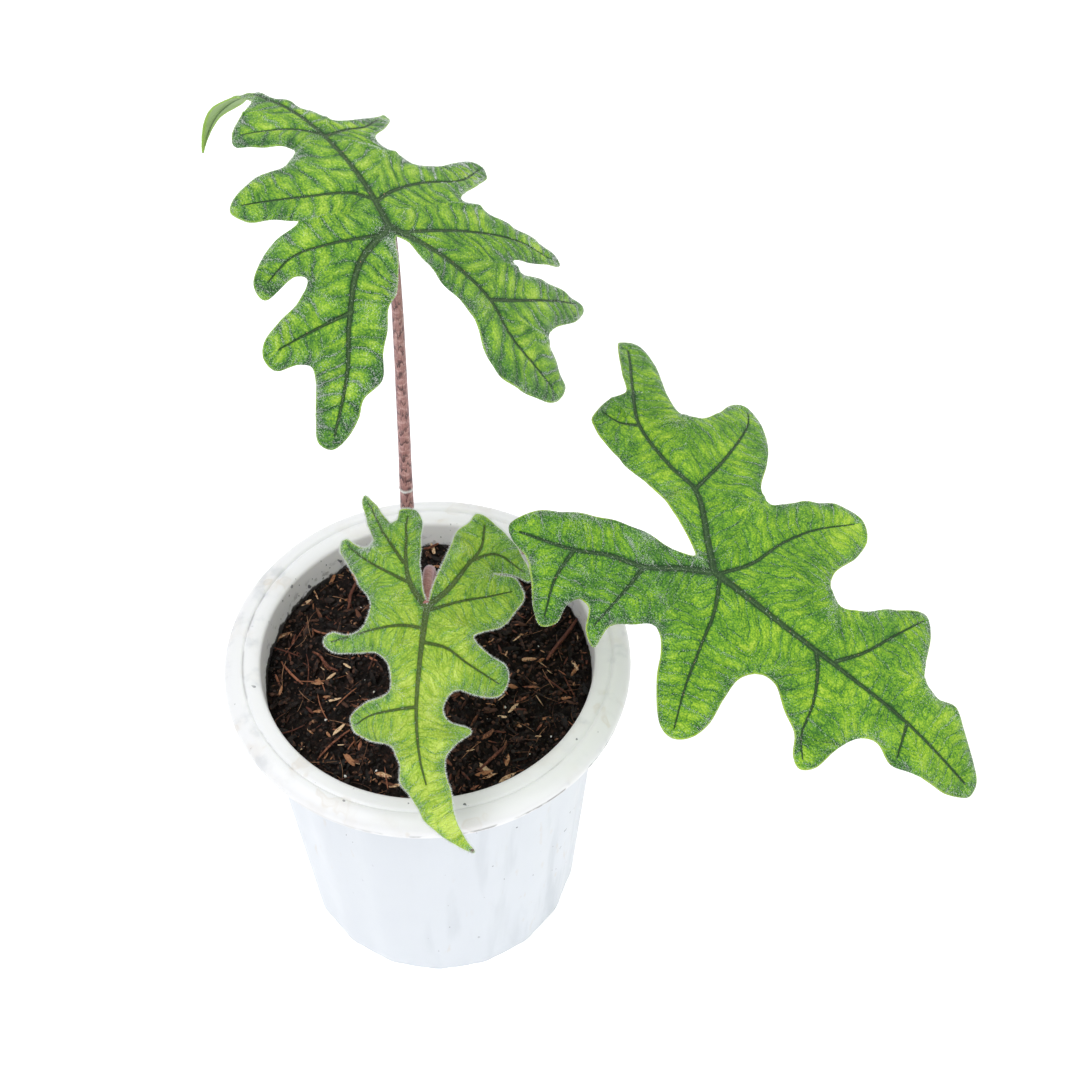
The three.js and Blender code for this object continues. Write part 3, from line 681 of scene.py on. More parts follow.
@dataclass(frozen=True)
class LeafFinish:
    """The colours and texture of a quilted, veined blade, with tones from darkest to palest."""

    name: str
    tones: tuple[Colour, Colour, Colour, Colour, Colour]
    vein: Colour
    vein_core: Colour
    vein_flank: Colour
    margin: Colour
    under: Colour
    under_vein: Colour
    band_period: float
    base_tone: float
    band_depth: float
    line_width: float
    patch_depth: float
    edge_reach: float
    edge_depth: float
    streak: float
    net: float
    wrinkle: float
    roughness: float = 0.42
    shine: float = 0.3
    # painted highlight: how strongly the wrinkle highlights are painted over the tones
    painted_glint: float = 0.12
    grain: float = 0.9
    frost: float = 0.42

    def material(self) -> bpy.types.Material:
        """Builds the material from the blade's maps and stored distances.

        Returns:
            The material.
        """
        made = Shader(self.name)
        flat = made.uv("flat")
        names = ("rib", "edge", "seam", "shade", "plain", "under")
        rib, edge, seam, shade, plain, under = (made.attribute(name) for name in names)
        bands = made.effect(blade_bands(), {
            "Bands": made.uv("bands"), "Flat": flat, "Edge": edge, "Seam": seam, "Shade": shade,
            "Period": self.band_period, "Base Tone": self.base_tone, "Band Depth": self.band_depth,
            "Line Width": self.line_width, "Patch Depth": self.patch_depth, "Edge Reach": self.edge_reach,
            "Edge Depth": self.edge_depth, "Streak": self.streak, "Net": self.net, "Grain": self.grain,
        })
        veins = made.effect(blade_veins(), {"Rib": rib, "Fleck": bands["Pores"]})
        marks = made.effect(blade_marks(), {
            "Flat": flat, "Edge": edge, "Rib": rib, "Shade": shade,
            **bands.pick("Line", "Puff", "Streak", "Broad"),
        })
        tone = bands["Tone"] - veins["Beside"] * 0.16
        above = made.layers(
            made.colours(tone, [0.0, 0.27, 0.5, 0.75, 1.0], self.tones),
            # painted highlight: the first tint over the tones stands in for highlights on the wrinkles
            (marks["Glint"] * self.painted_glint, PAINTED_GLINT_TONE), (marks["Margin"] * 0.85, self.margin),
            (veins["Body"] * 0.9, self.vein), (veins["Flank"] * 0.7, self.vein_flank),
            (veins["Core"] * 0.8, self.vein_core), (marks["Frost"] * self.frost, FROST_TONE),
            (marks["Dots"] * 0.8, DRY_DOT_TONE), (marks["Tip"], DRY_TIP_TONE),
        )
        below = made.layers(
            self.under,
            (bands["Line"] * 0.35, self.under_vein), (bands["Net"] * 0.18, self.under_vein),
            (1.0 - made.ramp(rib, 0.4, 1.2), self.under_vein), (bands["Fleck"] * 0.4, self.tones[3]),
        )
        smooth = made.layers(
            self.under,
            (1.0 - made.ramp(rib, 0.4, 1.1), self.under_vein),
            ((1.0 - made.ramp(edge, 0.2, 1.6)) * 0.6, self.tones[3]),
        )
        colour = made.mix(plain, smooth, above)
        colour = made.mix(made.ramp(under, 0.55, 0.9) * plain, colour, below)
        rough = made.node("MapRange", {
            "Value": bands["Streak"], "To Min": self.roughness - 0.1, "To Max": self.roughness + 0.16,
        })
        height = made.effect(blade_height(), {
            "Rib": rib, "Plain": plain, "Wrinkle": self.wrinkle,
            **bands.pick("Streak", "Fold", "Net", "Fine Net", "Fleck", "Puff"),
        })["Height"]
        return made.set(
            Base_Color=colour, Roughness=rough, Normal=made.bump(height, 0.9, 0.34), Sheen_Weight=0.03,
            Sheen_Roughness=0.4, Sheen_Tint=ink(235, 245, 240), Specular_IOR_Level=self.shine,
        )


@dataclass(frozen=True)
class HairFinish:
    """Short pale hairs."""

    name: str
    colour: Colour

    def material(self) -> bpy.types.Material:
        """Builds a soft pale material with a slight change of tone from hair to hair.

        Returns:
            The material.
        """
        made = Shader(self.name)
        tone = made.noise(made.object_place(), 900.0, 1.0)
        colour = made.mix(tone, self.colour, WHITE)
        return made.set(Base_Color=colour, Roughness=0.5, Sheen_Weight=0.3)


# Blades


@dataclass(frozen=True)
class BladeForm:
    """How a flat blade is bent in space. Angles in degrees, bends in degrees a millimetre."""

    place: Triple
    heading: float
    pitch: float
    roll: float
    tip_bend: float
    back_bend: float
    curl: float
    curl_start: float
    side_rise: float
    side_bend: Pair
    side_bend_back: Pair

    def midrib_pitch(self, along: np.ndarray) -> np.ndarray:
        """Gives the midrib's pitch in radians at distances along it.

        Args:
            along: Distances from the stalk in millimetres.

        Returns:
            Pitch in radians.
        """
        ahead = self.pitch - self.tip_bend * along - self.curl * np.maximum(0, along - self.curl_start)
        behind = self.pitch - self.back_bend * along
        return np.where(along < 0, behind, ahead) * DEGREE

    def bend(self, flat: np.ndarray) -> np.ndarray:
        """Places flat points, along and across the blade, in space.

        Args:
            flat: Flat points in millimetres, one row each.

        Returns:
            Points in space in millimetres.
        """
        table = np.arange(-160, 200, 0.25)
        pitch = self.midrib_pitch(table)
        ahead = np.concatenate([[0], np.cumsum((np.cos(pitch)[1:] + np.cos(pitch)[:-1]) / 2)]) * 0.25
        up = np.concatenate([[0], np.cumsum((np.sin(pitch)[1:] + np.sin(pitch)[:-1]) / 2)]) * 0.25
        middle = int(np.searchsorted(table, 0))
        along, across = flat[:, 0], flat[:, 1]
        spine_ahead = np.interp(along, table, ahead - ahead[middle])
        spine_up = np.interp(along, table, up - up[middle])
        here = np.interp(along, table, pitch)
        backwards = np.maximum(0, -along) / 50
        left = self.side_bend[0] + self.side_bend_back[0] * backwards
        right = self.side_bend[1] + self.side_bend_back[1] * backwards
        bend = np.where(across >= 0, left, right) * DEGREE
        bend = np.where(np.abs(bend) < 1e-6, 1e-6, bend)
        rise = self.side_rise * DEGREE
        reach = np.abs(across)
        out = (np.sin(rise) - np.sin(rise - bend * reach)) / bend * np.sign(across)
        lift = (np.cos(rise - bend * reach) - np.cos(rise)) / bend
        points = np.column_stack([-out, spine_ahead - np.sin(here) * lift, spine_up + np.cos(here) * lift])
        start = self.pitch * DEGREE
        axis = Vector((0, math.cos(start), math.sin(start)))
        turn = rotation_about(axis, self.roll * DEGREE)
        swing = rotation_about(UP, self.heading * DEGREE)
        return points @ turn.T @ swing.T + np.array(self.place)

    def normals(self, flat: np.ndarray) -> np.ndarray:
        """Gives the upward normal of the bent blade at flat points.

        Args:
            flat: Flat points in millimetres.

        Returns:
            Unit normals, one row each.
        """
        step = 0.2
        ahead = self.bend(flat + [step, 0]) - self.bend(flat - [step, 0])
        left = self.bend(flat + [0, step]) - self.bend(flat - [0, step])
        cross = np.cross(ahead, left)
        return cross / np.linalg.norm(cross, axis=1, keepdims=True)


def rotation_about(axis: Vector, angle: float) -> np.ndarray:
    """Gives the matrix of a turn about an axis through the origin.

    Args:
        axis: The unit axis.
        angle: The turn in radians.

    Returns:
        The 3 by 3 matrix.
    """
    x, y, z = axis
    cross = np.array([[0, -z, y], [z, 0, -x], [-y, x, 0]])
    return np.eye(3) + math.sin(angle) * cross + (1 - math.cos(angle)) * cross @ cross


@dataclass
class Blade:
    """One leaf blade: its drawn outline and veins, its form, its relief and its hairs."""

    node: str
    slot: str
    form: BladeForm
    finish: LeafFinish
    outline: Outline
    main_veins: list[Outline]
    side_veins: list[Outline]
    ripple: Pair
    main_width: Pair
    side_width: Pair
    lean: float
    quilt: float
    crimp: float
    seed: int
    ridge_hairs: int
    hair_length: Pair
    fringe_step: float
    fringe_length: Pair
    tip_start: float = 200.0
    shades: tuple[tuple[float, float, float, float], ...] = ()
    folds: tuple[tuple[Outline, float, float], ...] = ()
    hair_radius: float = 0.055
    step: float = 0.62
    thickness: float = 0.5

    def build(self) -> list[bpy.types.Object]:
        """Builds the blade and its hairs.

        Returns:
            The blade's object and its hairs' object.
        """
        self.draw_flat()
        self.measure()
        blade = self.make_blade()
        hairs = self.make_hairs()
        return [blade, hairs]

    def draw_flat(self) -> None:
        """Lays out the blade's flat points and joins them in triangles along outline and veins."""
        edge = smooth_curve(self.outline, 0.8, closed=True)
        self.edge_line = np.vstack([edge, edge[:1]])
        self.veins = [smooth_curve(line, 0.9) for line in self.main_veins + self.side_veins]
        laid = [edge]
        joins = [(i, (i + 1) % len(edge)) for i in range(len(edge))]
        count = len(edge)
        far_off = [[999.0, 999.0]]
        for line in self.veins:
            gap, _, _ = measure_line(line, self.edge_line)
            others = np.vstack([far_off, *laid[1:]])
            crowd = np.linalg.norm(line[:, None] - others[None], axis=-1).min(1)
            kept = np.flatnonzero(inside(line, edge) & (gap > 0.5) & (crowd > 0.45))
            numbers = {index: count + place for place, index in enumerate(kept)}
            joins += [(numbers[i], numbers[i + 1]) for i in kept if i + 1 in numbers]
            laid.append(line[kept])
            count += len(kept)
        low, high = edge.min(0), edge.max(0)
        rows = np.arange(low[0], high[0], self.step * ROW_SPACING)
        columns = np.arange(low[1], high[1], self.step)
        grid = np.array([(u, v + (i % 2) * self.step / 2) for i, u in enumerate(rows) for v in columns])
        grid = grid[inside(grid, edge)]
        grid = grid[measure_line(grid, self.edge_line)[0] > 0.4]
        for line in self.veins:
            grid = grid[measure_line(grid, line)[0] > 0.36]
        self.flat, self.triangles = triangulate(np.vstack([*laid, grid]), joins)

    def measure(self) -> None:
        """Works out how each flat point lies to the margin, the veins and the bands between."""
        flat = self.flat
        self.edge, _, _ = measure_line(flat, self.edge_line)
        distance, along, side, rib, start = [], [], [], [], []
        mains = self.veins[: len(self.main_veins)]
        for number, line in enumerate(self.veins):
            is_main = number < len(mains)
            broad, fine = self.main_width if is_main else self.side_width
            total = np.linalg.norm(np.diff(line, axis=0), axis=1).sum()
            d, _, _ = measure_line(flat, line)
            tail = line[-1] + (line[-1] - line[-4]) / np.linalg.norm(line[-1] - line[-4]) * 14
            _, t, s = measure_line(flat, np.vstack([line, tail]))
            width = broad + (fine - broad) * np.clip(t / total, 0, 1) ** 0.7
            roots = [measure_line(line[:1], main) for main in mains]
            nearest = min(roots, key=lambda root: root[0][0])
            start.append(0.0 if is_main else nearest[1][0])
            distance.append(d)
            along.append(t)
            side.append(s)
            rib.append(d / width)
        self.distance, self.along, self.side = (np.array(x) for x in (distance, along, side))
        self.start = np.array(start)
        ranked = np.sort(self.distance, 0)
        self.to_vein = ranked[0]
        self.seam = ranked[1] - ranked[0]
        self.rib = np.array(rib).min(0)
        self.on_main = np.array(rib)[: len(mains)].min(0)
        self.warp = ripple_noise(flat, 24.0, self.seed) * 1.2 + ripple_noise(flat, 7.0, self.seed + 3) * 0.5
        every = np.arange(len(flat))
        nearest = self.distance.argmin(0)
        self.phase = self.band_phase(every, nearest, self.side[nearest, every])
        self.shade = np.zeros(len(flat))
        for x, y, reach, amount in self.shades:
            self.shade += amount * np.exp(-((flat[:, 0] - x) ** 2 + (flat[:, 1] - y) ** 2) / reach**2)

    def band_phase(self, vertex: np.ndarray, vein: np.ndarray, side: np.ndarray) -> np.ndarray:
        """Gives the band number, whole on each cross vein.

        Args:
            vertex: The vertices asked for.
            vein: The vein that each is measured from.
            side: The side of that vein that it is seen on.

        Returns:
            One number for each vertex.
        """
        away = self.distance[vein, vertex]
        path = self.along[vein, vertex] + self.start[vein]
        lean = self.lean * np.exp(-path / 45) + 0.12
        run = (path - lean * away - 0.006 * away**2) / self.finish.band_period
        return run + np.where(side > 0, 0.45, 0.0) + self.warp[vertex]

    def relief(self) -> tuple[np.ndarray, np.ndarray]:
        """Gives each point's lift above the bent sheet and its rib's depth below.

        Returns:
            The lifts, and the depths by which ribs stand out underneath.
        """
        along = self.flat[:, 0]
        plain = ease(self.tip_start + 8, self.tip_start, along)
        puff = 0.9 * (1 - np.exp(-self.to_vein / 4)) * np.minimum(1, self.edge / 4) * (0.3 + 0.7 * plain)
        reach = np.maximum(0, 1 - self.edge / 7)
        height, length = self.ripple
        wave = height * reach**2 * np.sin(2 * np.pi * (along + 0.8 * self.flat[:, 1]) / length) * plain
        fade = ease(0.5, 2.4, self.to_vein) * ease(0.2, 2.2, self.edge) * plain
        fade = fade * ease(0.3, 2.2, self.seam)
        cells = self.quilt * (np.sin(np.pi * self.phase) ** 2 - 0.5) * fade
        seams = 0.55 * np.exp(-((self.seam / 1.6) ** 2)) * ease(1.5, 4.0, self.to_vein)
        seams = seams * ease(16, 5, self.edge) * plain
        for line, high, broad in self.folds:
            away, _, _ = measure_line(self.flat, smooth_curve(line, 1.0))
            seams = seams + high * np.exp(-((away / broad) ** 2))
        lumps = self.crimp * ripple_noise(self.flat, 2.6, self.seed + 9) * ease(0.3, 1.5, self.to_vein)
        groove_shade_and_grime = 0.2 * np.exp(-((self.rib / 0.4) ** 2)) - 0.42 * np.exp(-((self.rib / 1.1) ** 2))
        strength = np.minimum(1, self.edge / 12 + 0.2)
        ribs = np.maximum(0.95 * np.exp(-(self.on_main**2)), 0.6 * np.exp(-(self.rib**2))) * strength
        cross = 0.18 * np.cos(np.pi * self.phase) ** 8 * fade
        return puff + wave + cells + seams + lumps + groove_shade_and_grime * (0.3 + 0.7 * plain), ribs + cross

    def make_blade(self) -> bpy.types.Object:
        """Makes the closed blade, with a rounded margin between its two faces.

        Returns:
            The blade's object.
        """
        count = len(self.flat)
        place = self.form.bend(self.flat)
        normal = self.form.normals(self.flat)
        lift, rib = self.relief()
        top = place + normal * lift[:, None]
        bottom = place + normal * (lift - self.thickness - rib)[:, None]
        rim = rim_edges(self.triangles)
        rim_points = np.unique(rim)
        order = np.full(count, -1)
        order[rim_points] = np.arange(len(rim_points)) + 2 * count
        outward = np.zeros((count, 3))
        run = top[rim[:, 1]] - top[rim[:, 0]]
        across = np.cross(run, normal[rim[:, 0]])
        across /= np.linalg.norm(across, axis=1, keepdims=True)
        np.add.at(outward, rim[:, 0], across)
        np.add.at(outward, rim[:, 1], across)
        outward = outward[rim_points] / np.linalg.norm(outward[rim_points], axis=1, keepdims=True)
        middle = (top[rim_points] + bottom[rim_points]) / 2 + outward * 0.16
        points = np.vstack([top, bottom, middle])
        upper = np.column_stack([rim[:, 1], rim[:, 0], order[rim[:, 0]], order[rim[:, 1]]])
        lower = np.column_stack([order[rim[:, 1]], order[rim[:, 0]], rim[:, 0] + count, rim[:, 1] + count])
        under = self.triangles[:, ::-1] + count
        piece = make_mesh(self.node + "_blade", points, [self.triangles, under, upper, lower])
        source = np.concatenate([np.arange(count), np.arange(count), rim_points])
        faces = [Face.TOP.value, Face.UNDER.value, Face.MARGIN.value]
        set_value(piece, "under", np.repeat(faces, [count, count, len(rim_points)]))
        for name in ("rib", "edge", "seam", "shade"):
            set_value(piece, name, getattr(self, name)[source])
        set_value(piece, "plain", ease(self.tip_start + 6, self.tip_start - 4, self.flat[source, 0]))
        self.set_maps(piece, source, upper, lower)
        self.top = top
        self.normal = normal
        self.rim = rim
        self.outward = dict(zip(rim_points.tolist(), outward))
        finish_piece(piece, self.finish.material())
        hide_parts(self.node)
        return piece

    def set_maps(
        self, piece: bpy.types.Object, source: np.ndarray, upper: np.ndarray, lower: np.ndarray
    ) -> None:
        """Stores the flat map and the band map, each triangle seen from its own vein.

        Args:
            piece: The blade's object.
            source: The flat point behind each vertex.
            upper: The margin's upper faces.
            lower: The margin's lower faces.
        """
        tri = self.triangles
        corner = tri.ravel()
        nearest = self.distance[:, tri].mean(-1).argmin(0)
        vein = np.repeat(nearest, 3)
        turn = (self.side[vein, corner] * self.distance[vein, corner]).reshape(-1, 3).sum(1)
        side = np.repeat(np.sign(turn), 3)
        top = np.column_stack([self.band_phase(corner, vein, side), self.distance[vein, corner] * 0.1])
        under = top.reshape(-1, 3, 2)[:, ::-1].reshape(-1, 2)
        strip = source[np.concatenate([upper.ravel(), lower.ravel()])]
        rim = np.column_stack([self.phase[strip], self.to_vein[strip] * 0.1])
        set_map(piece, "bands", np.vstack([top, under, rim]))
        flat = self.flat * 0.01
        places = np.vstack([flat[tri.ravel()], flat[tri[:, ::-1].ravel()], flat[strip]])
        set_map(piece, "flat", places)

    def make_hairs(self) -> bpy.types.Object:
        """Makes the short hairs that stand on the cross veins and fringe the margin.

        Returns:
            The hairs' object.
        """
        random = np.random.default_rng(self.seed)
        tri = self.triangles
        corners = self.top[tri]
        cross = np.cross(corners[:, 1] - corners[:, 0], corners[:, 2] - corners[:, 0])
        area = np.linalg.norm(cross, axis=1)
        normal = cross / area[:, None]
        line = np.abs((self.phase[tri].mean(1) % 1) - 0.5) * 2
        before_tip = ease(self.tip_start + 6, self.tip_start, self.flat[tri, 0].mean(1))
        seam = self.seam[tri].mean(1)
        edge = self.edge[tri].mean(1)
        ridged = ease(1.6, 0.3, seam) * ease(18.0, 7.0, edge)
        crossed = ease(0.72, 1.0, line) ** 2 * ease(0.5, 2.0, seam)
        weight = area * (0.02 + crossed + 0.5 * ridged + 0.45 * ease(3.0, 0.6, edge))
        weight *= ease(0.4, 1.0, self.rib[tri].mean(1)) + 0.1
        clump = ease(-0.3, 0.4, ripple_noise(self.flat[tri].mean(1), 8.0, self.seed + 5))
        frosty = 1 + 14 * np.clip(-self.shade[tri].mean(1), 0, 0.3)
        weight *= (0.15 + clump) * (0.35 + ease(14.0, 5.0, edge)) * before_tip * frosty
        chosen = random.choice(len(tri), self.ridge_hairs, p=weight / weight.sum())
        mix = random.dirichlet((1, 1, 1), self.ridge_hairs)
        roots = (corners[chosen] * mix[..., None]).sum(1)
        away = self.slope(self.to_vein, chosen)
        outwards = -self.slope(self.edge, chosen)
        near_edge = ease(5.0, 2.0, edge[chosen])[:, None]
        away = away * (1 - near_edge) + outwards * near_edge
        lengths = random.uniform(*self.hair_length, self.ridge_hairs)
        ways = 0.8 * normal[chosen] + 0.55 * away + random.normal(0, 0.2, (self.ridge_hairs, 3))
        starts = self.top[self.rim[:, 0]]
        ends = self.top[self.rim[:, 1]]
        gaps = np.linalg.norm(ends - starts, axis=1)
        fringe = int(gaps.sum() / self.fringe_step)
        picked = random.choice(len(gaps), fringe, p=gaps / gaps.sum())
        share = random.random((fringe, 1))
        fringe_roots = starts[picked] * (1 - share) + ends[picked] * share
        outward = np.array([self.outward[i] for i in self.rim[picked, 0].tolist()])
        fringe_ways = outward + 0.35 * self.normal[self.rim[picked, 0]] + random.normal(0, 0.25, (fringe, 3))
        fringe_lengths = random.uniform(*self.fringe_length, fringe)
        fringe_roots = fringe_roots - 0.15 * self.normal[self.rim[picked, 0]]
        piece = needle_mesh(
            self.node + "_hairs",
            np.vstack([roots, fringe_roots]),
            np.vstack([ways, fringe_ways]),
            np.concatenate([lengths, fringe_lengths]),
            self.hair_radius,
        )
        finish_piece(piece, hair_material())
        return piece

    def slope(self, values: np.ndarray, chosen: np.ndarray) -> np.ndarray:
        """Gives the unit direction in which values rise fastest on chosen triangles.

        Args:
            values: One value for each flat point.
            chosen: The triangles asked for.

        Returns:
            Unit directions, one row each.
        """
        tri = self.triangles[chosen]
        a, b, c = (self.top[tri[:, i]] for i in range(3))
        normal = np.cross(b - a, c - a)
        square = (normal**2).sum(1, keepdims=True)
        rise_b = (values[tri[:, 1]] - values[tri[:, 0]])[:, None]
        rise_c = (values[tri[:, 2]] - values[tri[:, 0]])[:, None]
        way = (rise_b * np.cross(c - a, normal) + rise_c * np.cross(normal, b - a)) / square
        return way / np.maximum(np.linalg.norm(way, axis=1, keepdims=True), 1e-6)


def needle_mesh(
    name: str, roots: np.ndarray, ways: np.ndarray, lengths: np.ndarray, radius: float
) -> bpy.types.Object:
    """Makes one mesh of slim three-sided needles.

    Args:
        name: The piece's name.
        roots: Where the needles start, in millimetres.
        ways: The directions in which they point.
        lengths: Their lengths in millimetres.
        radius: Their radius at the root in millimetres.

    Returns:
        The needles' object.
    """
    ways = ways / np.linalg.norm(ways, axis=1, keepdims=True)
    other = np.where(np.abs(ways[:, 2:3]) < 0.9, [[0.0, 0.0, 1.0]], [[1.0, 0.0, 0.0]])
    first = np.cross(ways, other)
    first /= np.linalg.norm(first, axis=1, keepdims=True)
    second = np.cross(ways, first)
    feet = []
    for turn in range(3):
        angle = turn * 2 * math.pi / 3
        feet.append(roots + radius * (math.cos(angle) * first + math.sin(angle) * second))
    tips = roots + ways * lengths[:, None]
    points = np.stack([*feet, tips], 1).reshape(-1, 3)
    base = (np.arange(len(roots)) * 4)[:, None, None]
    sides = np.array([[0, 1, 3], [1, 2, 3], [2, 0, 3], [2, 1, 0]])
    return make_mesh(name, points, [(base + sides).reshape(-1, 3)])


# Finishes of the blades


@cache
def hair_material() -> bpy.types.Material:
    """Makes the one material that all the hairs share."""
    return HAIR_FINISH.material()


HAIR_FINISH = HairFinish("pale_hair", ink(218, 236, 224))

GROWN_LEAF = LeafFinish(
    name="grown_leaf",
    tones=(ink(32, 78, 30), ink(58, 114, 36), ink(100, 154, 38), ink(150, 192, 48), ink(188, 214, 92)),
    vein=ink(46, 74, 38), vein_core=ink(76, 106, 58), vein_flank=ink(22, 42, 22), margin=ink(150, 190, 64),
    under=ink(142, 172, 108), under_vein=ink(98, 132, 74),
    band_period=5.4, base_tone=0.59, band_depth=0.34, line_width=0.38, patch_depth=0.62,
    edge_reach=5.0, edge_depth=0.2, streak=0.15, net=0.18, wrinkle=0.8, painted_glint=0.22,
)
LOW_LEAF = LeafFinish(
    name="low_leaf",
    tones=(ink(26, 70, 26), ink(50, 106, 30), ink(90, 148, 30), ink(142, 188, 36), ink(182, 212, 68)),
    vein=ink(42, 72, 38), vein_core=ink(74, 104, 60), vein_flank=ink(20, 40, 22), margin=ink(168, 200, 56),
    under=ink(150, 178, 118), under_vein=ink(120, 96, 84),
    band_period=4.6, base_tone=0.64, band_depth=0.18, line_width=0.34, patch_depth=0.50,
    edge_reach=4.0, edge_depth=0.14, streak=0.13, net=0.24, wrinkle=0.8,
)
YOUNG_LEAF = LeafFinish(
    name="young_leaf",
    tones=(ink(50, 102, 44), ink(84, 142, 48), ink(124, 176, 50), ink(164, 202, 50), ink(200, 226, 92)),
    vein=ink(76, 98, 42), vein_core=ink(94, 118, 54), vein_flank=ink(66, 66, 36), margin=ink(186, 214, 90),
    under=ink(170, 198, 120), under_vein=ink(130, 128, 80),
    band_period=3.8, base_tone=0.72, band_depth=0.2, line_width=0.4, patch_depth=0.5,
    edge_reach=4.5, edge_depth=0.24, streak=0.15, net=0.2, wrinkle=1.7, roughness=0.3, shine=0.55, painted_glint=0.22,
    grain=0.6, frost=0.5,
)

# Blade drawings, in millimetres along the blade from the stalk and across it, left positive

TALL_OUTLINE: Outline = [
    (-3, -1), (-14, 4), (-22, 8), (-26, 12.3), (-33, 15.5), (-39, 19), (-47, 22), (-51, 29), (-56, 32),
    (-61, 37),
    (-63, 42), (-60, 45), (-53, 44), (-40, 40), (-36, 40), (-34, 43), (-33, 50), (-28, 52), (-23, 50),
    (-19, 44), (-15, 36), (-9, 31), (-6.5, 34), (-10, 45), (-4, 46), (2, 42), (8, 34), (11, 25),
    (14, 28), (19, 38), (25, 41), (30, 38), (34, 29), (35, 18), (40, 12), (44, 14), (52, 26),
    (58, 24.5), (65, 18.5), (71, 12), (74, 9), (79, 8.6), (84, 9), (89, 11.5), (94, 13.5), (102, 13.7),
    (110, 13),
    (117.4, 12), (113.7, 11), (107.3, 9), (102.6, 7), (100, 3.4), (97, 0.5), (91, 1), (85, 2), (78.3, 2.6),
    (72.5, 0.6),
    (69.6, -1.9), (64.5, -3.3), (59.2, -6), (54, -12),
    (57, -22), (63, -33), (66, -37), (60.5, -35.5), (51.5, -28), (43, -19), (36, -21), (29, -27),
    (29, -35), (34, -46), (38, -56), (36, -61), (30, -59), (23, -50), (13, -36), (10, -41),
    (5, -48), (0, -57), (-5, -67), (-10, -72), (-12, -60), (-13, -43.5), (-17, -46), (-19, -57),
    (-22, -70), (-26, -81), (-32, -72), (-37, -54), (-41, -48), (-51, -48), (-58, -50), (-63, -43),
    (-63, -35), (-60, -27), (-55, -19), (-49, -15), (-38, -15), (-31, -14), (-21, -9), (-11, -6),
]
TALL_MAIN_VEINS: list[Outline] = [
    [(0, 0), (22, -1), (50, 0), (63.5, 1.5), (75, 4), (83, 5.5), (91, 7), (99, 9), (107, 10.6), (114, 11.6)],
    [(0, 1), (-10, 15), (-27, 25), (-42, 31), (-59, 40)],
    [(0, -1), (-13, -15), (-28, -25), (-41, -28), (-59, -41)],
]
TALL_SIDE_VEINS: list[Outline] = [
    [(12, 0), (16, 5), (20, 20), (26, 37)],
    [(45, 0), (51, 7), (57, 22)],
    [(11, -1), (15, -9), (19, -22), (23, -42), (33, -57)],
    [(44, -1), (48, -11), (51, -20), (62, -33)],
    [(-2, 2), (-1, 12), (0, 21), (0, 32), (-5, 42)],
    [(-24, 23), (-25, 31), (-27, 47)],
    [(-2, -4), (-2, -27), (-4, -51), (-9, -66)],
    [(-28, -25), (-28, -38), (-25, -75)],
]
RIGHT_OUTLINE: Outline = [
    (-8, 1), (-18, 8), (-29, 13), (-41, 14), (-56.6, 17), (-61, 19.5), (-63.3, 21.4), (-63.9, 24.7),
    (-63.2, 36), (-61, 43),
    (-66, 50), (-73, 63), (-74, 69), (-67, 75), (-61, 71), (-50, 57), (-42, 52), (-37, 56),
    (-33, 66), (-32, 76), (-27, 81), (-21, 77), (-13, 65), (-9, 54), (-5, 42), (1, 38), (6, 45),
    (12, 52), (23, 60), (30, 59), (35, 52), (35, 41), (32, 30), (34, 23), (40, 20), (46, 23),
    (53, 31), (61, 39), (67, 43), (72, 37), (75, 25), (78, 19), (84, 18), (92, 21), (99, 17),
    (108, 11), (113, 6), (113, 0), (105, -6), (93, -9), (84, -13), (76, -11), (70, -14), (66, -22),
    (64, -32), (60, -36), (56, -34), (52, -28), (45, -24), (37, -19), (30, -21), (27, -26),
    (27, -34), (28, -44), (26, -51), (21, -55), (16, -54), (6, -42), (2, -34), (-2, -29), (-6, -28),
    (-11, -32), (-16, -37), (-16, -46), (-21, -43), (-25, -36), (-29, -36), (-31, -40), (-30, -47),
    (-33, -51), (-38, -48), (-45, -40), (-51, -35), (-57, -34), (-61, -31), (-60, -25), (-57, -20),
    (-48, -13), (-40, -8), (-31, -4), (-18, -2), (-12, -1),
]
RIGHT_MAIN_VEINS: list[Outline] = [
    [(0, 0), (29, -1), (54, 0), (80, 2), (109, 2)],
    [(-1, 1), (-8, 9), (-22, 24), (-33, 26), (-50, 33), (-59, 45), (-70, 66)],
    [(-1, -1), (-8, -5), (-19, -13), (-30, -17), (-40, -23), (-57, -30)],
]
RIGHT_SIDE_VEINS: list[Outline] = [
    [(2, 1), (8, 11), (12, 26), (18, 40), (28, 55)],
    [(49, 1), (55, 11), (61, 26), (67, 40)],
    [(3, -1), (8, -12), (11, -24), (15, -39), (20, -52)],
    [(42, -1), (46, -6), (51, -16), (54, -27), (59, -33)],
    [(-22, 24), (-21, 44), (-23, 70), (-26, 78)],
    [(-50, 33), (-56, 28), (-62, 27)],
    [(-40, -23), (-39, -35), (-34, -48)],
    [(-19, -13), (-19, -22), (-20, -40)],
    [(80, 2), (84, -10)],
]
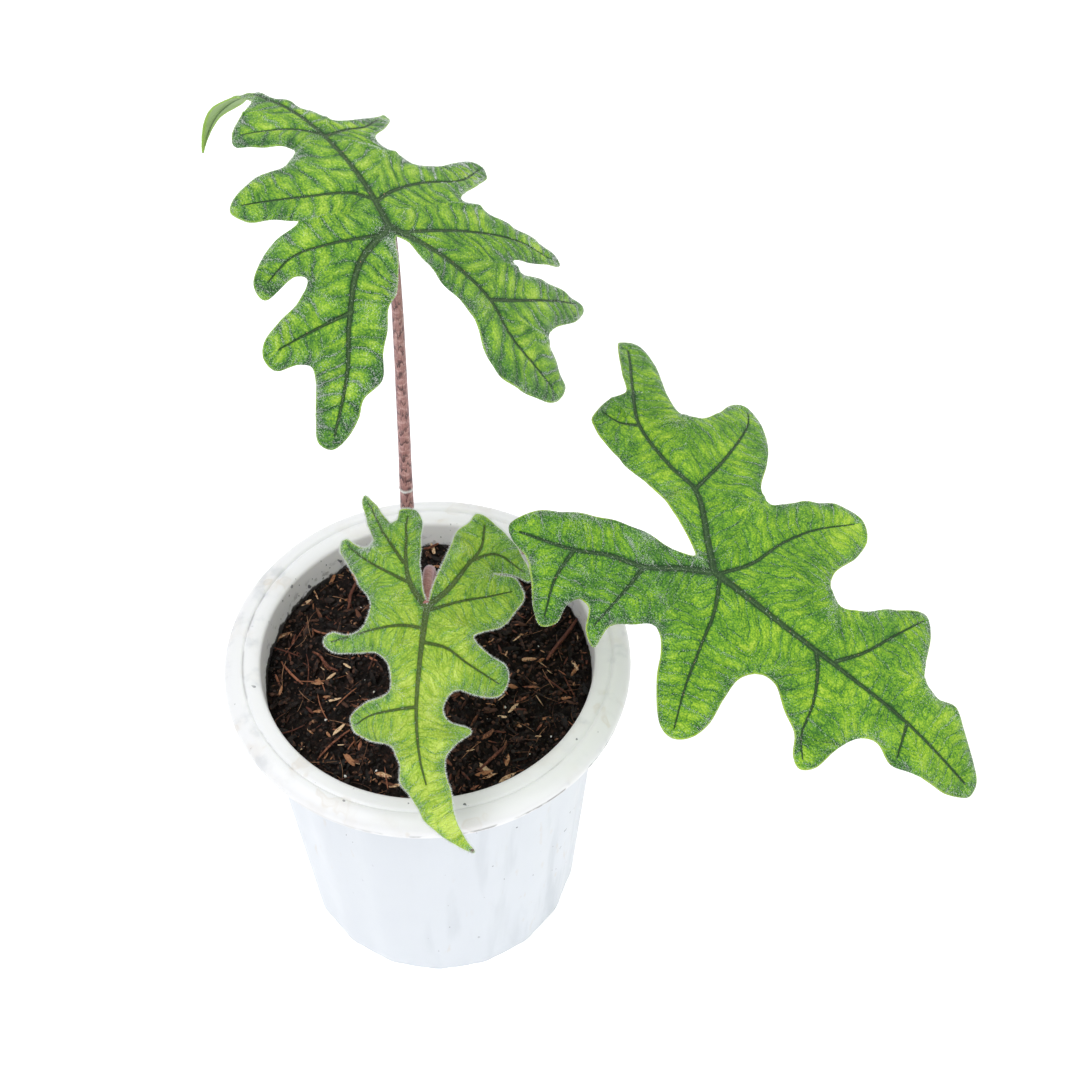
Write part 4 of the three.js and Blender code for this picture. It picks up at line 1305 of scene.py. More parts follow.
FRONT_OUTLINE: Outline = [
    (-1, 0), (-7, 2), (-15, 5), (-22, 8), (-27, 10), (-30, 14), (-33, 16), (-31, 21), (-27, 25),
    (-22, 30), (-12.8, 35), (-10.1, 35.3), (-11.4, 30.7), (-12.5, 26.2), (-11.9, 22.5), (-11.2, 26.2),
    (-9.9, 30.3), (-4, 33), (1, 30),
    (6, 26), (8, 20), (10, 16), (16, 21), (20, 27), (25, 28), (30, 25), (30, 18), (28, 11),
    (30, 8), (35, 6), (39, 8), (42.2, 15.8), (46, 11), (51, 7), (56, 7), (63, 9), (70, 10), (78, 13.5),
    (83, 17), (81, 12), (78, 7), (72, 0), (65, -4), (60, -8), (52, -9), (47, -12), (45, -20),
    (42, -25), (38, -27), (33, -22), (29, -13), (23, -12), (18, -14), (15, -18), (15, -27),
    (14, -35), (10, -38), (8, -35), (9, -29), (7, -24), (2, -21), (-2, -20), (-9, -25), (-14, -28),
    (-20, -32), (-25, -33), (-25.5, -30.6), (-23.4, -27.7), (-22.2, -25.3), (-22, -21.8), (-24.1, -20),
    (-27.4, -21.4),
    (-34, -24.1), (-41.2, -25.2), (-38, -21),
    (-33, -17), (-30, -14), (-31, -12), (-35, -11), (-34, -5), (-31, -3), (-23, -3), (-16, -3),
    (-8, -2),
]
FRONT_MAIN_VEINS: list[Outline] = [
    [(0, 0), (18, -2), (37, -3), (52, -1.5), (60, 0.5)],
    [(-1, 1), (-6, 7), (-14, 13), (-21, 18), (-29, 19)],
    [(-1, -1), (-8, -6), (-16, -8), (-32, -8)],
]
FRONT_SIDE_VEINS: list[Outline] = [
    [(-16, 14), (-19, 23), (-13, 33)],
    [(1, 1), (-2, 11), (-4, 21), (-6, 29)],
    [(12, -1), (14, 7), (19, 14), (26, 25)],
    [(-9, -7), (-12, -13), (-17, -22), (-23, -30)],
    [(-16, -9), (-26, -16), (-38, -23)],
    [(7, -2), (6, -9), (7, -18), (11, -35)],
    [(34, -3), (35, -11), (37, -20), (40, -25)],
]


# Stalks


@cache
def stalk_marks() -> bpy.types.NodeTree:
    """Builds the mottling of a stalk: sagging bands, pale tips under them, streaks and fine rings.

    Returns:
        The node group.
    """
    made = Effect("stalk_marks", [], ["Along", "Front", "Aside", "Period", "Sag"])
    given = made.given
    along, front, aside = given["Along"], given["Front"], given["Aside"]
    round_place = made.join(front, aside, along * 0.11)
    fine_place = made.join(front, aside, along * 0.8)
    long_place = made.join(front, aside, along * 0.05)
    ring_place = made.join(front, aside, along * 2.6)
    drift = made.noise(round_place, 1.5, 3.0)
    torn = made.noise(fine_place, 2.2, 3.0)
    phase = (along + front * given["Sag"]) / given["Period"] + (drift * 2.3 + torn * 0.1)
    step = made.math("FRACT", phase)
    band = (1.0 - made.ramp(step, 0.1, 0.62)) * made.ramp(step, 0.0, 0.1)
    shown = made.ramp(made.noise(made.stretch(round_place, (1.0, 1.0, 1.9)), 1.1, 1.0), 0.34, 0.56)
    tip = made.ramp(step, 0.62, 0.96) * (1.0 - made.ramp(step, 0.965, 1.0))
    streak = made.noise(made.stretch(long_place, (6.0, 6.0, 1.4)), 2.2, 4.0)
    wrinkle = made.noise(made.stretch(ring_place, (1.1, 1.1, 1.0)), 1.0, 3.0)
    patch = made.noise(fine_place, 0.9, 3.0)
    band = band * made.ramp(streak + band * 0.35, 0.42, 0.72)
    return made.finish(Band=band * shown, Tip=tip, Streak=streak, Wrinkle=wrinkle, Patch=patch)


SCAR_TONE = ink(228, 228, 226)


@dataclass(frozen=True)
class StalkFinish:
    """A mottled stalk skin."""

    name: str
    base: Colour
    pale: Colour
    band: Colour
    streak: Colour
    top: Colour
    band_period: float
    band_weight: float
    ring_weight: float
    sag: float = 1.5

    def material(self) -> bpy.types.Material:
        """Builds the skin from the place along and round the stalk.

        Returns:
            The material.
        """
        made = Shader(self.name)
        marks = made.effect(stalk_marks(), {
            "Along": made.attribute("along"), "Front": made.attribute("front"),
            "Aside": made.attribute("aside"), "Period": self.band_period, "Sag": self.sag,
        })
        colour = made.layers(
            self.base,
            (made.ramp(marks["Patch"], 0.46, 0.66), self.pale),
            (made.ramp(made.attribute("height"), 0.8, 1.0), self.top),
            (marks["Tip"] * 0.45, self.pale),
            (made.ramp(marks["Streak"], 0.5, 0.66) * 0.7, self.streak),
            (marks["Band"] * self.band_weight, self.band),
            (made.ramp(marks["Wrinkle"], 0.48, 0.66) * self.ring_weight, self.band),
            (made.attribute("scar"), SCAR_TONE),
        )
        height = marks["Streak"] * 0.6 + marks["Wrinkle"] * (0.3 + self.ring_weight)
        return made.set(
            Base_Color=colour, Roughness=0.5, Normal=made.bump(height, 0.6, 0.2),
            Sheen_Weight=0.5, Sheen_Roughness=0.3, Sheen_Tint=ink(205, 212, 245),
        )


@dataclass
class Stalk:
    """One leaf stalk: a slim tube along a route, with sparse hairs."""

    node: str
    route: list[Triple]
    radii: list[float]
    finish: StalkFinish
    seed: int
    hairs: int
    scar: float = -1.0
    sides: int = 36
    step: float = 0.5

    def build(self) -> list[bpy.types.Object]:
        """Builds the stalk and its hairs.

        Returns:
            The stalk's object and its hairs' object.
        """
        rows = smooth_curve([(*p, r) for p, r in zip(self.route, self.radii)], self.step)
        line, radius = rows[:, :3], rows[:, 3]
        along = np.concatenate([[0], np.cumsum(np.linalg.norm(np.diff(line, axis=0), axis=1))])
        way = np.gradient(line, axis=0)
        way /= np.linalg.norm(way, axis=1, keepdims=True)
        ahead = np.empty_like(line)
        start = np.array([0.0, -1.0, 0.0])
        for i, w in enumerate(way):
            start = start - w * (start @ w)
            start /= np.linalg.norm(start)
            ahead[i] = start
        left = np.cross(way, ahead)
        angle = np.arange(self.sides) * 2 * math.pi / self.sides
        spoke = np.cos(angle)[:, None] * ahead[:, None] + np.sin(angle)[:, None] * left[:, None]
        places = line[:, None] + spoke * radius[:, None, None]
        swell = ripple_noise(places.reshape(-1, 3) * [1, 1, 0.35], 5.0, self.seed).reshape(places.shape[:2])
        ring = np.exp(-(((along - self.scar) / 0.7) ** 2))
        fine = radius[:, None] * (1 + 0.035 * swell) + 0.16 * ring[:, None]
        places = line[:, None] + spoke * fine[..., None]
        rows_count, sides = places.shape[:2]
        points = np.vstack([places.reshape(-1, 3), line[:1], line[-1:]])
        number = np.arange(rows_count * sides).reshape(rows_count, sides)
        after = np.roll(number, -1, 1)
        walls = np.stack([number[:-1], after[:-1], after[1:], number[1:]], -1).reshape(-1, 4)
        foot = np.column_stack([after[0], number[0], np.full(sides, len(points) - 2)])
        head = np.column_stack([number[-1], after[-1], np.full(sides, len(points) - 1)])
        piece = make_mesh(self.node + "_stalk", points, [walls, foot, head])
        self.store(piece, "along", along)
        self.store(piece, "height", along / along[-1])
        ragged = ripple_noise(places.reshape(-1, 3) + [self.seed, 0, 0], 2.6, self.seed + 1.0)
        scar = np.repeat(ring, self.sides) * ease(-0.35, 0.05, ragged)
        set_value(piece, "scar", np.concatenate([scar, [0, 0]]))
        around = np.tile(np.column_stack([np.cos(angle), np.sin(angle)]), (rows_count, 1))
        around = np.vstack([around, [[0, 0], [0, 0]]])
        set_value(piece, "front", around[:, 0])
        set_value(piece, "aside", around[:, 1])
        finish_piece(piece, self.finish.material())
        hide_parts(self.node)
        return [piece, self.make_hairs(places, spoke)]

    def store(self, piece: bpy.types.Object, name: str, rows: np.ndarray) -> None:
        """Stores a value that changes only along the stalk."""
        set_value(piece, name, np.concatenate([np.repeat(rows, self.sides), rows[:1], rows[-1:]]))

    def make_hairs(self, places: np.ndarray, spoke: np.ndarray) -> bpy.types.Object:
        """Makes short hairs standing off the stalk.

        Args:
            places: Points of the skin, by row and side.
            spoke: The outward direction at each.

        Returns:
            The hairs' object.
        """
        random = np.random.default_rng(self.seed)
        row = random.integers(4, len(places) - 2, self.hairs)
        side = random.integers(0, self.sides, self.hairs)
        ways = spoke[row, side] + random.normal(0, 0.25, (self.hairs, 3))
        lengths = random.uniform(0.25, 0.6, self.hairs)
        roots = places[row, side] - spoke[row, side] * 0.08
        piece = needle_mesh(self.node + "_hairs", roots, ways, lengths, 0.05)
        finish_piece(piece, hair_material())
        return piece


MOTTLED_SKIN = StalkFinish(
    name="mottled_skin",
    base=ink(162, 114, 110), pale=ink(200, 158, 152), band=ink(62, 34, 40), streak=ink(116, 70, 72),
    top=ink(174, 112, 112), band_period=6.4, band_weight=0.9, ring_weight=0.15,
)
DUSTY_SKIN = StalkFinish(
    name="dusty_skin",
    base=ink(176, 122, 122), pale=ink(198, 150, 146), band=ink(112, 66, 68), streak=ink(150, 98, 98),
    top=ink(172, 116, 110), band_period=5.0, band_weight=0.12, ring_weight=0.5,
)


# Pot


GROOVE_RADIUS = 0.0678
LIP_HEIGHT = 0.1408
# painted light: a whiter colour than the outer wall, for the inner wall that lies in shade
INNER_WALL_PAINTED_LIGHT = ink(250, 250, 252)


@dataclass(frozen=True)
class PotFinish:
    """White moulded plastic with water stains, smudges and soil marks, painted shade on the rim's sides and
    in the sunken ring on its top, and painted light on the inner wall.
    """

    name: str
    body: Colour
    # the cool tint colours the wall's smudges and the painted shade on the rim's sides
    cool_tint: Colour
    rim: Colour
    stain: Colour
    # the dark colour serves soil marks and the painted shade in the sunken ring on the rim
    dirt_and_shade: Colour
    ink_mark: Colour

    def material(self) -> bpy.types.Material:
        """Builds the plastic from the place on the pot.

        Returns:
            The material.
        """
        made = Shader(self.name)
        place = made.object_place()
        across, deep, height = made.split(place)
        flat = made.stretch(place, (1.0, 1.0, 0.0))
        reach = made.node("VectorMath", {0: flat}, operation="LENGTH", output="Value")
        long_noise = made.noise(made.stretch(place, (1.0, 1.0, 0.10)), 120.0, 4.0)
        broad = made.noise(made.stretch(place, (1.0, 1.0, 0.35)), 28.0, 3.0)
        fine = made.noise(place, 420.0, 4.0)
        blotch = made.noise(place, 75.0, 6.0)
        on_rim = made.ramp(height, 0.1385, 0.1405)

        rightwards = made.ramp(across, -0.045, 0.05)
        cool_tint = made.ramp(long_noise, 0.5, 0.7) * made.ramp(broad, 0.35, 0.65)
        cool_tint = cool_tint * (rightwards * 0.8 + 0.2)
        colour = made.mix(cool_tint * 0.45, self.body, self.cool_tint)
        fine_long = made.noise(made.stretch(place, (1.0, 1.0, 0.3)), 300.0, 3.0)
        scuff = made.ramp(fine_long, 0.6, 0.72) * made.ramp(broad, 0.5, 0.62)
        colour = made.mix(scuff * 0.3, colour, self.stain)
        colour = made.mix(on_rim, colour, self.rim)

        blots = made.noise(made.shaken(place, 160.0, 0.004), 78.0, 2.0)
        ring = (1.0 - made.ramp(abs(blots - 0.64), 0.0, 0.035)) * 0.6
        pool = made.ramp(blots, 0.58, 0.68) * 0.4
        stain = made.math("MAXIMUM", ring, pool) * made.ramp(broad, 0.4, 0.6)
        cloud = made.ramp(blotch, 0.5, 0.72) * 0.35
        colour = made.mix((stain + cloud) * on_rim * 0.45, colour, self.stain)
        # painted shade: noisy patches of the cool tint darken both sides of the rim
        side_rim = made.ramp(abs(across), 0.035, 0.065)
        rim_side_shade = made.ramp(long_noise, 0.48, 0.66) * made.ramp(blotch, 0.44, 0.6) * on_rim
        colour = made.mix(rim_side_shade * side_rim * 0.4, colour, self.cool_tint)

        # the sunken ring on the rim: partly painted shade, partly soil, in broken dashes, darker on the rim's
        # sides and towards the right
        groove_shade_and_grime = 1.0 - made.ramp(abs(reach - GROOVE_RADIUS), 0.0001, 0.00055)
        broken = made.ramp(made.noise(place, 70.0, 4.0), 0.5, 0.6) * (side_rim * 0.9 + 0.1)
        groove_shade_and_grime = groove_shade_and_grime * broken * on_rim
        colour = made.mix(groove_shade_and_grime * (rightwards * 0.35 + 0.25), colour, self.dirt_and_shade)
        lip = 1.0 - made.ramp(abs(height - LIP_HEIGHT), 0.0002, 0.0013)
        outer = lip * made.ramp(reach, 0.0725, 0.074) * made.ramp(made.noise(place, 95.0, 5.0), 0.47, 0.57)
        outer = outer * (rightwards * 0.85 + 0.15)
        colour = made.mix(outer * 0.75, colour, self.dirt_and_shade)

        # painted light: the inner wall above the soil gets the whiter colour to lift its shade
        inner = (1.0 - made.ramp(reach, 0.0608, 0.0632)) * made.ramp(height, 0.126, 0.128)
        level = height + made.noise(place, 260.0, 5.0) * 0.007
        colour = made.mix(inner * 0.9, colour, INNER_WALL_PAINTED_LIGHT)
        smear = (1.0 - made.ramp(level, 0.1366, 0.1378)) * inner
        colour = made.mix(smear * 0.93, colour, self.dirt_and_shade)
        dust = (1.0 - made.ramp(height, 0.135, 0.142)) * made.ramp(made.noise(place, 330.0, 4.0), 0.54, 0.68)
        colour = made.mix(dust * inner * 0.4, colour, self.dirt_and_shade)
        dots = made.noise(made.stretch(place, (1.0, 1.0, 0.8)), 560.0, 0.0)
        speck = made.ramp(dots, 0.845, 0.865) * made.ramp(broad, 0.46, 0.6)
        near_soil = made.ramp(dots, 0.76, 0.79) * (inner * made.ramp(deep, 0.0, 0.03))
        colour = made.mix(made.math("MAXIMUM", speck, near_soil) * 0.8, colour, self.ink_mark)
        rough = made.node("MapRange", {"Value": blotch, "To Min": 0.28, "To Max": 0.52})
        normal = made.bump(fine + long_noise * 1.4, 0.18, 0.12)
        return made.set(
            Base_Color=colour, Roughness=rough, Normal=normal, Subsurface_Weight=0.08,
            Subsurface_Radius=(0.004, 0.004, 0.005), Subsurface_Scale=1.0,
        )


@dataclass
class NurseryPot:
    """A round moulded pot with fluted wall, rolled rim and drain holes, in millimetres."""

    finish: PotFinish
    profile: list[Pair]
    segments: int = 288
    flutes: int = 18
    flute_depth: float = 0.55
    wall_reach: Pair = (54.9, 64.8)
    wall_foot: float = 2.0
    wall_height: float = 140.7
    flutes_end: float = 132.3
    drains: int = 6
    drain_radius: float = 4.0
    drain_circle: float = 34.0

    def build(self) -> bpy.types.Object:
        """Builds the pot.

        Returns:
            The pot's object.
        """
        piece = turned("pot_shell", self.profile, self.segments)
        self.cut_drains(piece)
        self.flute(piece)
        bpy.ops.object.mode_set(mode="OBJECT")
        piece.data.shade_smooth()
        bpy.ops.object.shade_smooth_by_angle(angle=0.7)
        finish_piece(piece, self.finish.material())
        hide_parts("pot")
        return piece

    def cut_drains(self, piece: bpy.types.Object) -> None:
        """Cuts the ring of round drain holes through the floor.

        Args:
            piece: The pot's object.
        """
        for number in range(self.drains):
            angle = (number + 0.5) * 2 * math.pi / self.drains
            place = np.array([math.cos(angle), math.sin(angle), 0]) * self.drain_circle + [0, 0, 1.5]
            bpy.ops.mesh.primitive_cylinder_add(
                vertices=40, radius=self.drain_radius * MM, depth=8 * MM, location=place * MM
            )
            cutter = bpy.context.object
            cut = piece.modifiers.new("drain", "BOOLEAN")
            cut.operation = "DIFFERENCE"
            cut.object = cutter
            select_only(piece)
            bpy.ops.object.modifier_apply(modifier=cut.name)
            bpy.data.objects.remove(cutter)

    def flute(self, piece: bpy.types.Object) -> None:
        """Raises the low ridges between the wall's broad panels.

        Args:
            piece: The pot's object.
        """
        mesh = piece.data
        points = read_points(mesh) / MM
        reach = np.hypot(points[:, 0], points[:, 1])
        height = points[:, 2]
        low, high = self.wall_reach
        wall = low + (high - low) * (height - self.wall_foot) / self.wall_height
        outside = ease(2.2, 1.2, np.abs(reach - wall)) * ease(0.8, 2.0, height)
        outside *= ease(self.flutes_end + 2.5, self.flutes_end, height)
        wave = np.cos(self.flutes * np.arctan2(points[:, 0], -points[:, 1]))
        grown = reach + self.flute_depth * wave * outside
        points[:, :2] *= (grown / np.maximum(reach, 1e-6))[:, None]
        mesh.vertices.foreach_set("co", (points * MM).ravel())
        mesh.update()


def select_only(piece: bpy.types.Object) -> None:
    """Selects one object and makes it active.

    Args:
        piece: The object.
    """
    bpy.ops.object.select_all(action="DESELECT")
    piece.select_set(True)
    bpy.context.view_layer.objects.active = piece


def turned(name: str, profile: list[Pair], segments: int) -> bpy.types.Object:
    """Draws a ring out along a profile, as on a lathe, and closes its two ends.

    Args:
        name: The piece's name.
        profile: Radius and height of each ring in millimetres.
        segments: Corners of a ring.

    Returns:
        The turned object.
    """
    bpy.ops.object.select_all(action="DESELECT")
    radius, height = profile[0]
    bpy.ops.mesh.primitive_circle_add(vertices=segments, radius=radius * MM, location=(0, 0, height * MM))
    piece = bpy.context.object
    bpy.ops.object.transform_apply(location=True)
    piece.name = name
    piece.data.name = name
    bpy.ops.object.mode_set(mode="EDIT")
    bpy.ops.mesh.select_all(action="SELECT")
    bpy.ops.mesh.edge_face_add()
    bpy.ops.mesh.select_all(action="SELECT")
    for (before, low), (after, high) in zip(profile, profile[1:]):
        bpy.ops.mesh.extrude_region_move(TRANSFORM_OT_translate={"value": (0, 0, (high - low) * MM)})
        grow = after / before
        bpy.ops.transform.resize(value=(grow, grow, 1), center_override=(0, 0, 0))
    bpy.ops.mesh.select_all(action="SELECT")
    bpy.ops.mesh.normals_make_consistent(inside=False)
    bpy.ops.object.mode_set(mode="OBJECT")
    return piece


# Potting mix


@cache
def grain() -> bpy.types.NodeTree:
    """Builds an uneven natural grain: dark patches, light flecks, dark pits and a height.

    Returns:
        The node group.
    """
    made = Effect("grain", ["Place"], ["Size", "Tone"])
    place, size, tone = made.given["Place"], made.given["Size"], made.given["Tone"]
    fine = made.noise(place, size, 5.0)
    broad = made.noise(place, size * 0.17, 3.0)
    mixed = (fine - 0.5) * 1.2 + (broad - 0.5) * 0.9 + tone
    return made.finish(
        Deep=1.0 - made.ramp(mixed, 0.12, 0.46), Light=made.ramp(mixed, 0.56, 0.95),
        Pit=1.0 - made.ramp(fine, 0.3, 0.42), Height=fine,
    )


@dataclass(frozen=True)
class BitFinish:
    """Bark, husk, fibre or grit: a base tone with darker and lighter patches and bits."""

    name: str
    base: Colour
    deep: Colour
    light: Colour
    roughness: float
    stretch: Triple = (1.0, 1.0, 1.0)
    size: float = 900.0
    spread: float = 0.9

    def material(self) -> bpy.types.Material:
        """Builds a grainy, uneven natural surface, each bit in a tone of its own.

        Returns:
            The material.
        """
        made = Shader(self.name)
        tone = (made.attribute("bit") - 0.5) * self.spread + 0.5
        place = made.stretch(made.object_place(), self.stretch)
        marks = made.effect(grain(), {"Place": place, "Size": self.size, "Tone": tone})
        colour = made.layers(
            self.base,
            (marks["Deep"], self.deep), (marks["Light"], self.light), (marks["Pit"] * 0.6, self.deep),
        )
        return made.set(
            Base_Color=colour, Roughness=self.roughness, Normal=made.bump(marks["Height"], 0.8, 0.5),
            Specular_IOR_Level=0.35,
        )


SOIL_BED = BitFinish("soil_bed", ink(20, 12, 9), ink(5, 3, 3), ink(58, 36, 27), 0.95, size=1100.0)
BARK = BitFinish("bark", ink(30, 19, 15), ink(8, 5, 4), ink(76, 48, 35), 0.7)
RED_BARK = BitFinish("red_bark", ink(88, 46, 32), ink(40, 20, 15), ink(150, 96, 70), 0.65)
HUSK = BitFinish("husk", ink(158, 108, 74), ink(88, 50, 30), ink(218, 186, 150), 0.6, size=1300.0)
FIBRE = BitFinish("fibre", ink(104, 68, 48), ink(54, 32, 24), ink(160, 120, 90), 0.7)
GRIT = BitFinish("grit", ink(226, 224, 218), ink(178, 172, 164), ink(244, 244, 242), 0.6)


@dataclass
class BitKind:
    """One kind of loose bit and how many of it lie on the mix, in millimetres and degrees."""

    name: str
    finish: BitFinish
    count: int
    length: Pair
    slimness: Pair
    flatness: float
    tilt: float
    sunk: float
    cuts: int


@dataclass
class PottingMix:
    """The dark mix: its bed, the bits of bark, husk and fibre that lie on it, and grit."""

    edge: float
    floor: float
    kinds: list[BitKind]
    seed: int
    step: float = 0.75
    grid_reach: float = 62.0
    ring_corners: int = 480
    foot_radius: float = 51.9
    corm_place: Pair = (1.0, 12.5)
    corm_radius: float = 12.2

    def build(self) -> list[bpy.types.Object]:
        """Builds the bed and every kind of bit.

        Returns:
            The objects made.
        """
        self.random = np.random.default_rng(self.seed)
        pieces = [self.make_bed()]
        for kind in self.kinds:
            pieces.append(self.scatter(kind))
        pieces.append(self.make_threads("soil_threads", FIBRE, 130, (4, 13), (0.07, 0.16)))
        pieces.append(self.make_threads("soil_twigs", RED_BARK, 30, (7, 20), (0.22, 0.5)))
        pieces.append(self.place_sticks())
        return pieces

    def level(self, flat: np.ndarray) -> np.ndarray:
        """Gives the height of the mix's surface at flat places.

        Args:
            flat: Flat places in millimetres.

        Returns:
            One height for each.
        """
        x, y = flat[:, 0], flat[:, 1]
        reach = np.hypot(x, y) / 61.5
        wave = 0.7 * np.sin(0.37 * x + 1) * np.cos(0.41 * y) + 0.4 * np.sin(0.9 * x - 0.7 * y)
        return 135.5 - 3 * reach**2 + 0.018 * x + 0.012 * y + wave

    def make_bed(self) -> bpy.types.Object:
        """Makes the closed, lumpy body of the mix.

        Returns:
            The bed's object.
        """
        rows = np.arange(-self.grid_reach, self.grid_reach, self.step * ROW_SPACING)
        columns = np.arange(-self.grid_reach, self.grid_reach, self.step)
        grid = np.array([(x + (i % 2) * self.step / 2, y) for i, y in enumerate(rows) for x in columns])
        grid = grid[np.hypot(grid[:, 0], grid[:, 1]) < self.edge - 0.5]
        angle = np.linspace(0, 2 * math.pi, self.ring_corners, endpoint=False)
        ring = np.column_stack([np.cos(angle), np.sin(angle)]) * self.edge
        joins = [(i, (i + 1) % self.ring_corners) for i in range(self.ring_corners)]
        flat, triangles = triangulate(np.vstack([ring, grid]), joins)
        height = self.level(flat)
        lumps = ripple_noise(flat, 6.0, 2.0) * 1.0 + ripple_noise(flat, 2.2, 5.0) * 1.1
        height = height + lumps - 0.9
        height = height + self.chunks(flat, 3.1, 1.3) + self.chunks(flat * [1.0, 1.6], 1.7, 0.9)
        rim = rim_edges(triangles)
        wall_top = np.unique(rim)
        count = len(flat)
        order = np.full(count, -1)
        order[wall_top] = np.arange(len(wall_top)) + count
        low = flat[wall_top] / np.hypot(*flat[wall_top].T)[:, None] * self.foot_radius
        points = np.vstack([
            np.column_stack([flat, height]),
            np.column_stack([low, np.full(len(low), self.floor)]),
            [[0, 0, self.floor]],
        ])
        walls = np.column_stack([rim[:, 1], rim[:, 0], order[rim[:, 0]], order[rim[:, 1]]])
        base = np.column_stack([order[rim[:, 1]], order[rim[:, 0]], np.full(len(rim), len(points) - 1)])
        piece = make_mesh("soil_bed", points, [triangles, walls, base])
        bits = np.concatenate([0.5 + 0.5 * ripple_noise(flat, 1.6, 7.0), np.full(len(low) + 1, 0.5)])
        set_value(piece, "bit", bits)
        finish_piece(piece, SOIL_BED.material())
        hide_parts("soil")
        return piece

    def chunks(self, flat: np.ndarray, size: float, height: float) -> np.ndarray:
        """Gives a field of small tilted lumps, one for each cell of an uneven pattern.

        Args:
            flat: Flat places.
            size: Width of a lump.
            height: Height of a lump.

        Returns:
            One height for each place.
        """
        result = np.empty(len(flat))
        for i, (x, y) in enumerate(flat):
            distances, centres = noise.voronoi(Vector((x / size, y / size, 3.0)))
            lean = noise.cell_vector(centres[0] * 7.3)
            fall = (x / size - centres[0].x) * (lean.x - 0.5) + (y / size - centres[0].y) * (lean.y - 0.5)
            gap = distances[1] - distances[0]
            result[i] = height * (lean.z - 0.5 + 1.4 * fall - 0.8 * math.exp(-gap * 14))
        return result

    def free_places(self, count: int) -> np.ndarray:
        """Picks flat places on the mix, clear of the stem base.

        Args:
            count: How many to pick.

        Returns:
            The places, one row each.
        """
        places = []
        while len(places) < count:
            x, y = self.random.uniform(-self.edge, self.edge, 2)
            clear = math.hypot(x - self.corm_place[0], y - self.corm_place[1]) > self.corm_radius + 0.6
            if clear and math.hypot(x, y) < self.edge - 1.6:
                places.append((x, y))
        return np.array(places)

    def join_bits(self, name: str, finish: BitFinish, bits: list, tones: list[float]) -> bpy.types.Object:
        """Joins loose bits in one piece.

        Args:
            name: The piece's name.
            finish: Their finish.
            bits: The points and the triangles of each bit.
            tones: The tone of each bit, from 0 to 1.

        Returns:
            The piece.
        """
        counts = [len(points) for points, _ in bits]
        starts = np.cumsum([0, *counts[:-1]])
        faces = np.vstack([group + start for (_, group), start in zip(bits, starts)])
        piece = make_mesh(name, np.vstack([points for points, _ in bits]), [faces])
        set_value(piece, "bit", np.repeat(tones, counts))
        finish_piece(piece, finish.material())
        return piece

    def scatter(self, kind: BitKind) -> bpy.types.Object:
        """Lays copies of one kind of bit over the mix, each pushed out of shape differently.

        Args:
            kind: The kind of bit.

        Returns:
            The piece that holds them all.
        """
        bpy.ops.object.select_all(action="DESELECT")
        bpy.ops.mesh.primitive_ico_sphere_add(subdivisions=kind.cuts, radius=0.5)
        ball = bpy.context.object
        shape = read_points(ball.data)
        ball.data.calc_loop_triangles()
        faces = np.array([t.vertices[:] for t in ball.data.loop_triangles])
        bpy.data.objects.remove(ball)
        places = self.free_places(kind.count)
        heights = self.level(places)
        bits, tones = [], []
        for place, height in zip(places, heights):
            tones.append(self.random.random())
            length = self.random.uniform(*kind.length)
            width = length * self.random.uniform(*kind.slimness)
            thick = width * kind.flatness
            rough = shape * (1 + self.random.normal(0, 0.16, shape.shape)) * [length, width, thick]
            turn = rotation_about(UP, self.random.uniform(0, 2 * math.pi))
            way = self.random.uniform(0, 2 * math.pi)
            axis = Vector((math.cos(way), math.sin(way), 0))
            tip = rotation_about(axis, self.random.normal(0, kind.tilt) * DEGREE)
            bit = rough @ turn.T @ tip.T + [*place, height + thick * 0.5 - kind.sunk]
            reach = np.hypot(bit[:, 0], bit[:, 1])
            bit[:, :2] *= np.minimum(1, (self.edge - 0.4) / reach)[:, None]
            bits.append((bit, faces))
        piece = self.join_bits("soil_" + kind.name, kind.finish, bits, tones)
        select_only(piece)
        bpy.ops.object.shade_smooth_by_angle(angle=0.6)
        return piece

    def make_threads(
        self, name: str, finish: BitFinish, count: int, length: Pair, radius: Pair
    ) -> bpy.types.Object:
        """Makes thin bent fibres or twigs that lie over the bits.

        Args:
            name: The piece's name.
            finish: Their finish.
            count: How many.
            length: Least and greatest length.
            radius: Least and greatest radius.

        Returns:
            The piece that holds them all.
        """
        bits, tones = [], []
        for place in self.free_places(count):
            way = self.random.uniform(0, 2 * math.pi)
            size = self.random.uniform(*length)
            bend = self.random.normal(0, 0.3)
            turns = way + np.linspace(-bend, bend, 7)
            steps = np.column_stack([np.cos(turns), np.sin(turns)]) * size / 6
            flat = place + np.cumsum(steps, 0) - steps.sum(0) / 2
            reach = np.hypot(flat[:, 0], flat[:, 1])
            flat *= np.minimum(1, (self.edge - 1.0) / reach)[:, None]
            tilt = self.random.normal(0, 0.12)
            slant = tilt * np.linspace(-size / 2, size / 2, 7)
            rise = self.level(flat).mean() + self.random.uniform(0.3, 1.3) + slant
            rise = np.maximum(rise, self.level(flat) - 1)
            bits.append(bent_tube(np.column_stack([flat, rise]), self.random.uniform(*radius)))
            tones.append(self.random.random())
        return self.join_bits(name, finish, bits, tones)

    def place_sticks(self) -> bpy.types.Object:
        """Lays the few large sticks that catch the eye.

        Returns:
            The piece that holds them all.
        """
        bits = []
        for first, last, radius in STICKS:
            share = np.linspace(0, 1, 9)[:, None]
            flat = np.array(first) * (1 - share) + np.array(last) * share
            flat = flat + 0.5 * np.sin(share * 7 + first[0])
            rise = self.level(flat).max() + 1.0 + np.linspace(-0.6, 0.9, 9)
            bits.append(bent_tube(np.column_stack([flat, rise]), radius))
        return self.join_bits("soil_sticks", RED_BARK, bits, [0.55] * len(bits))


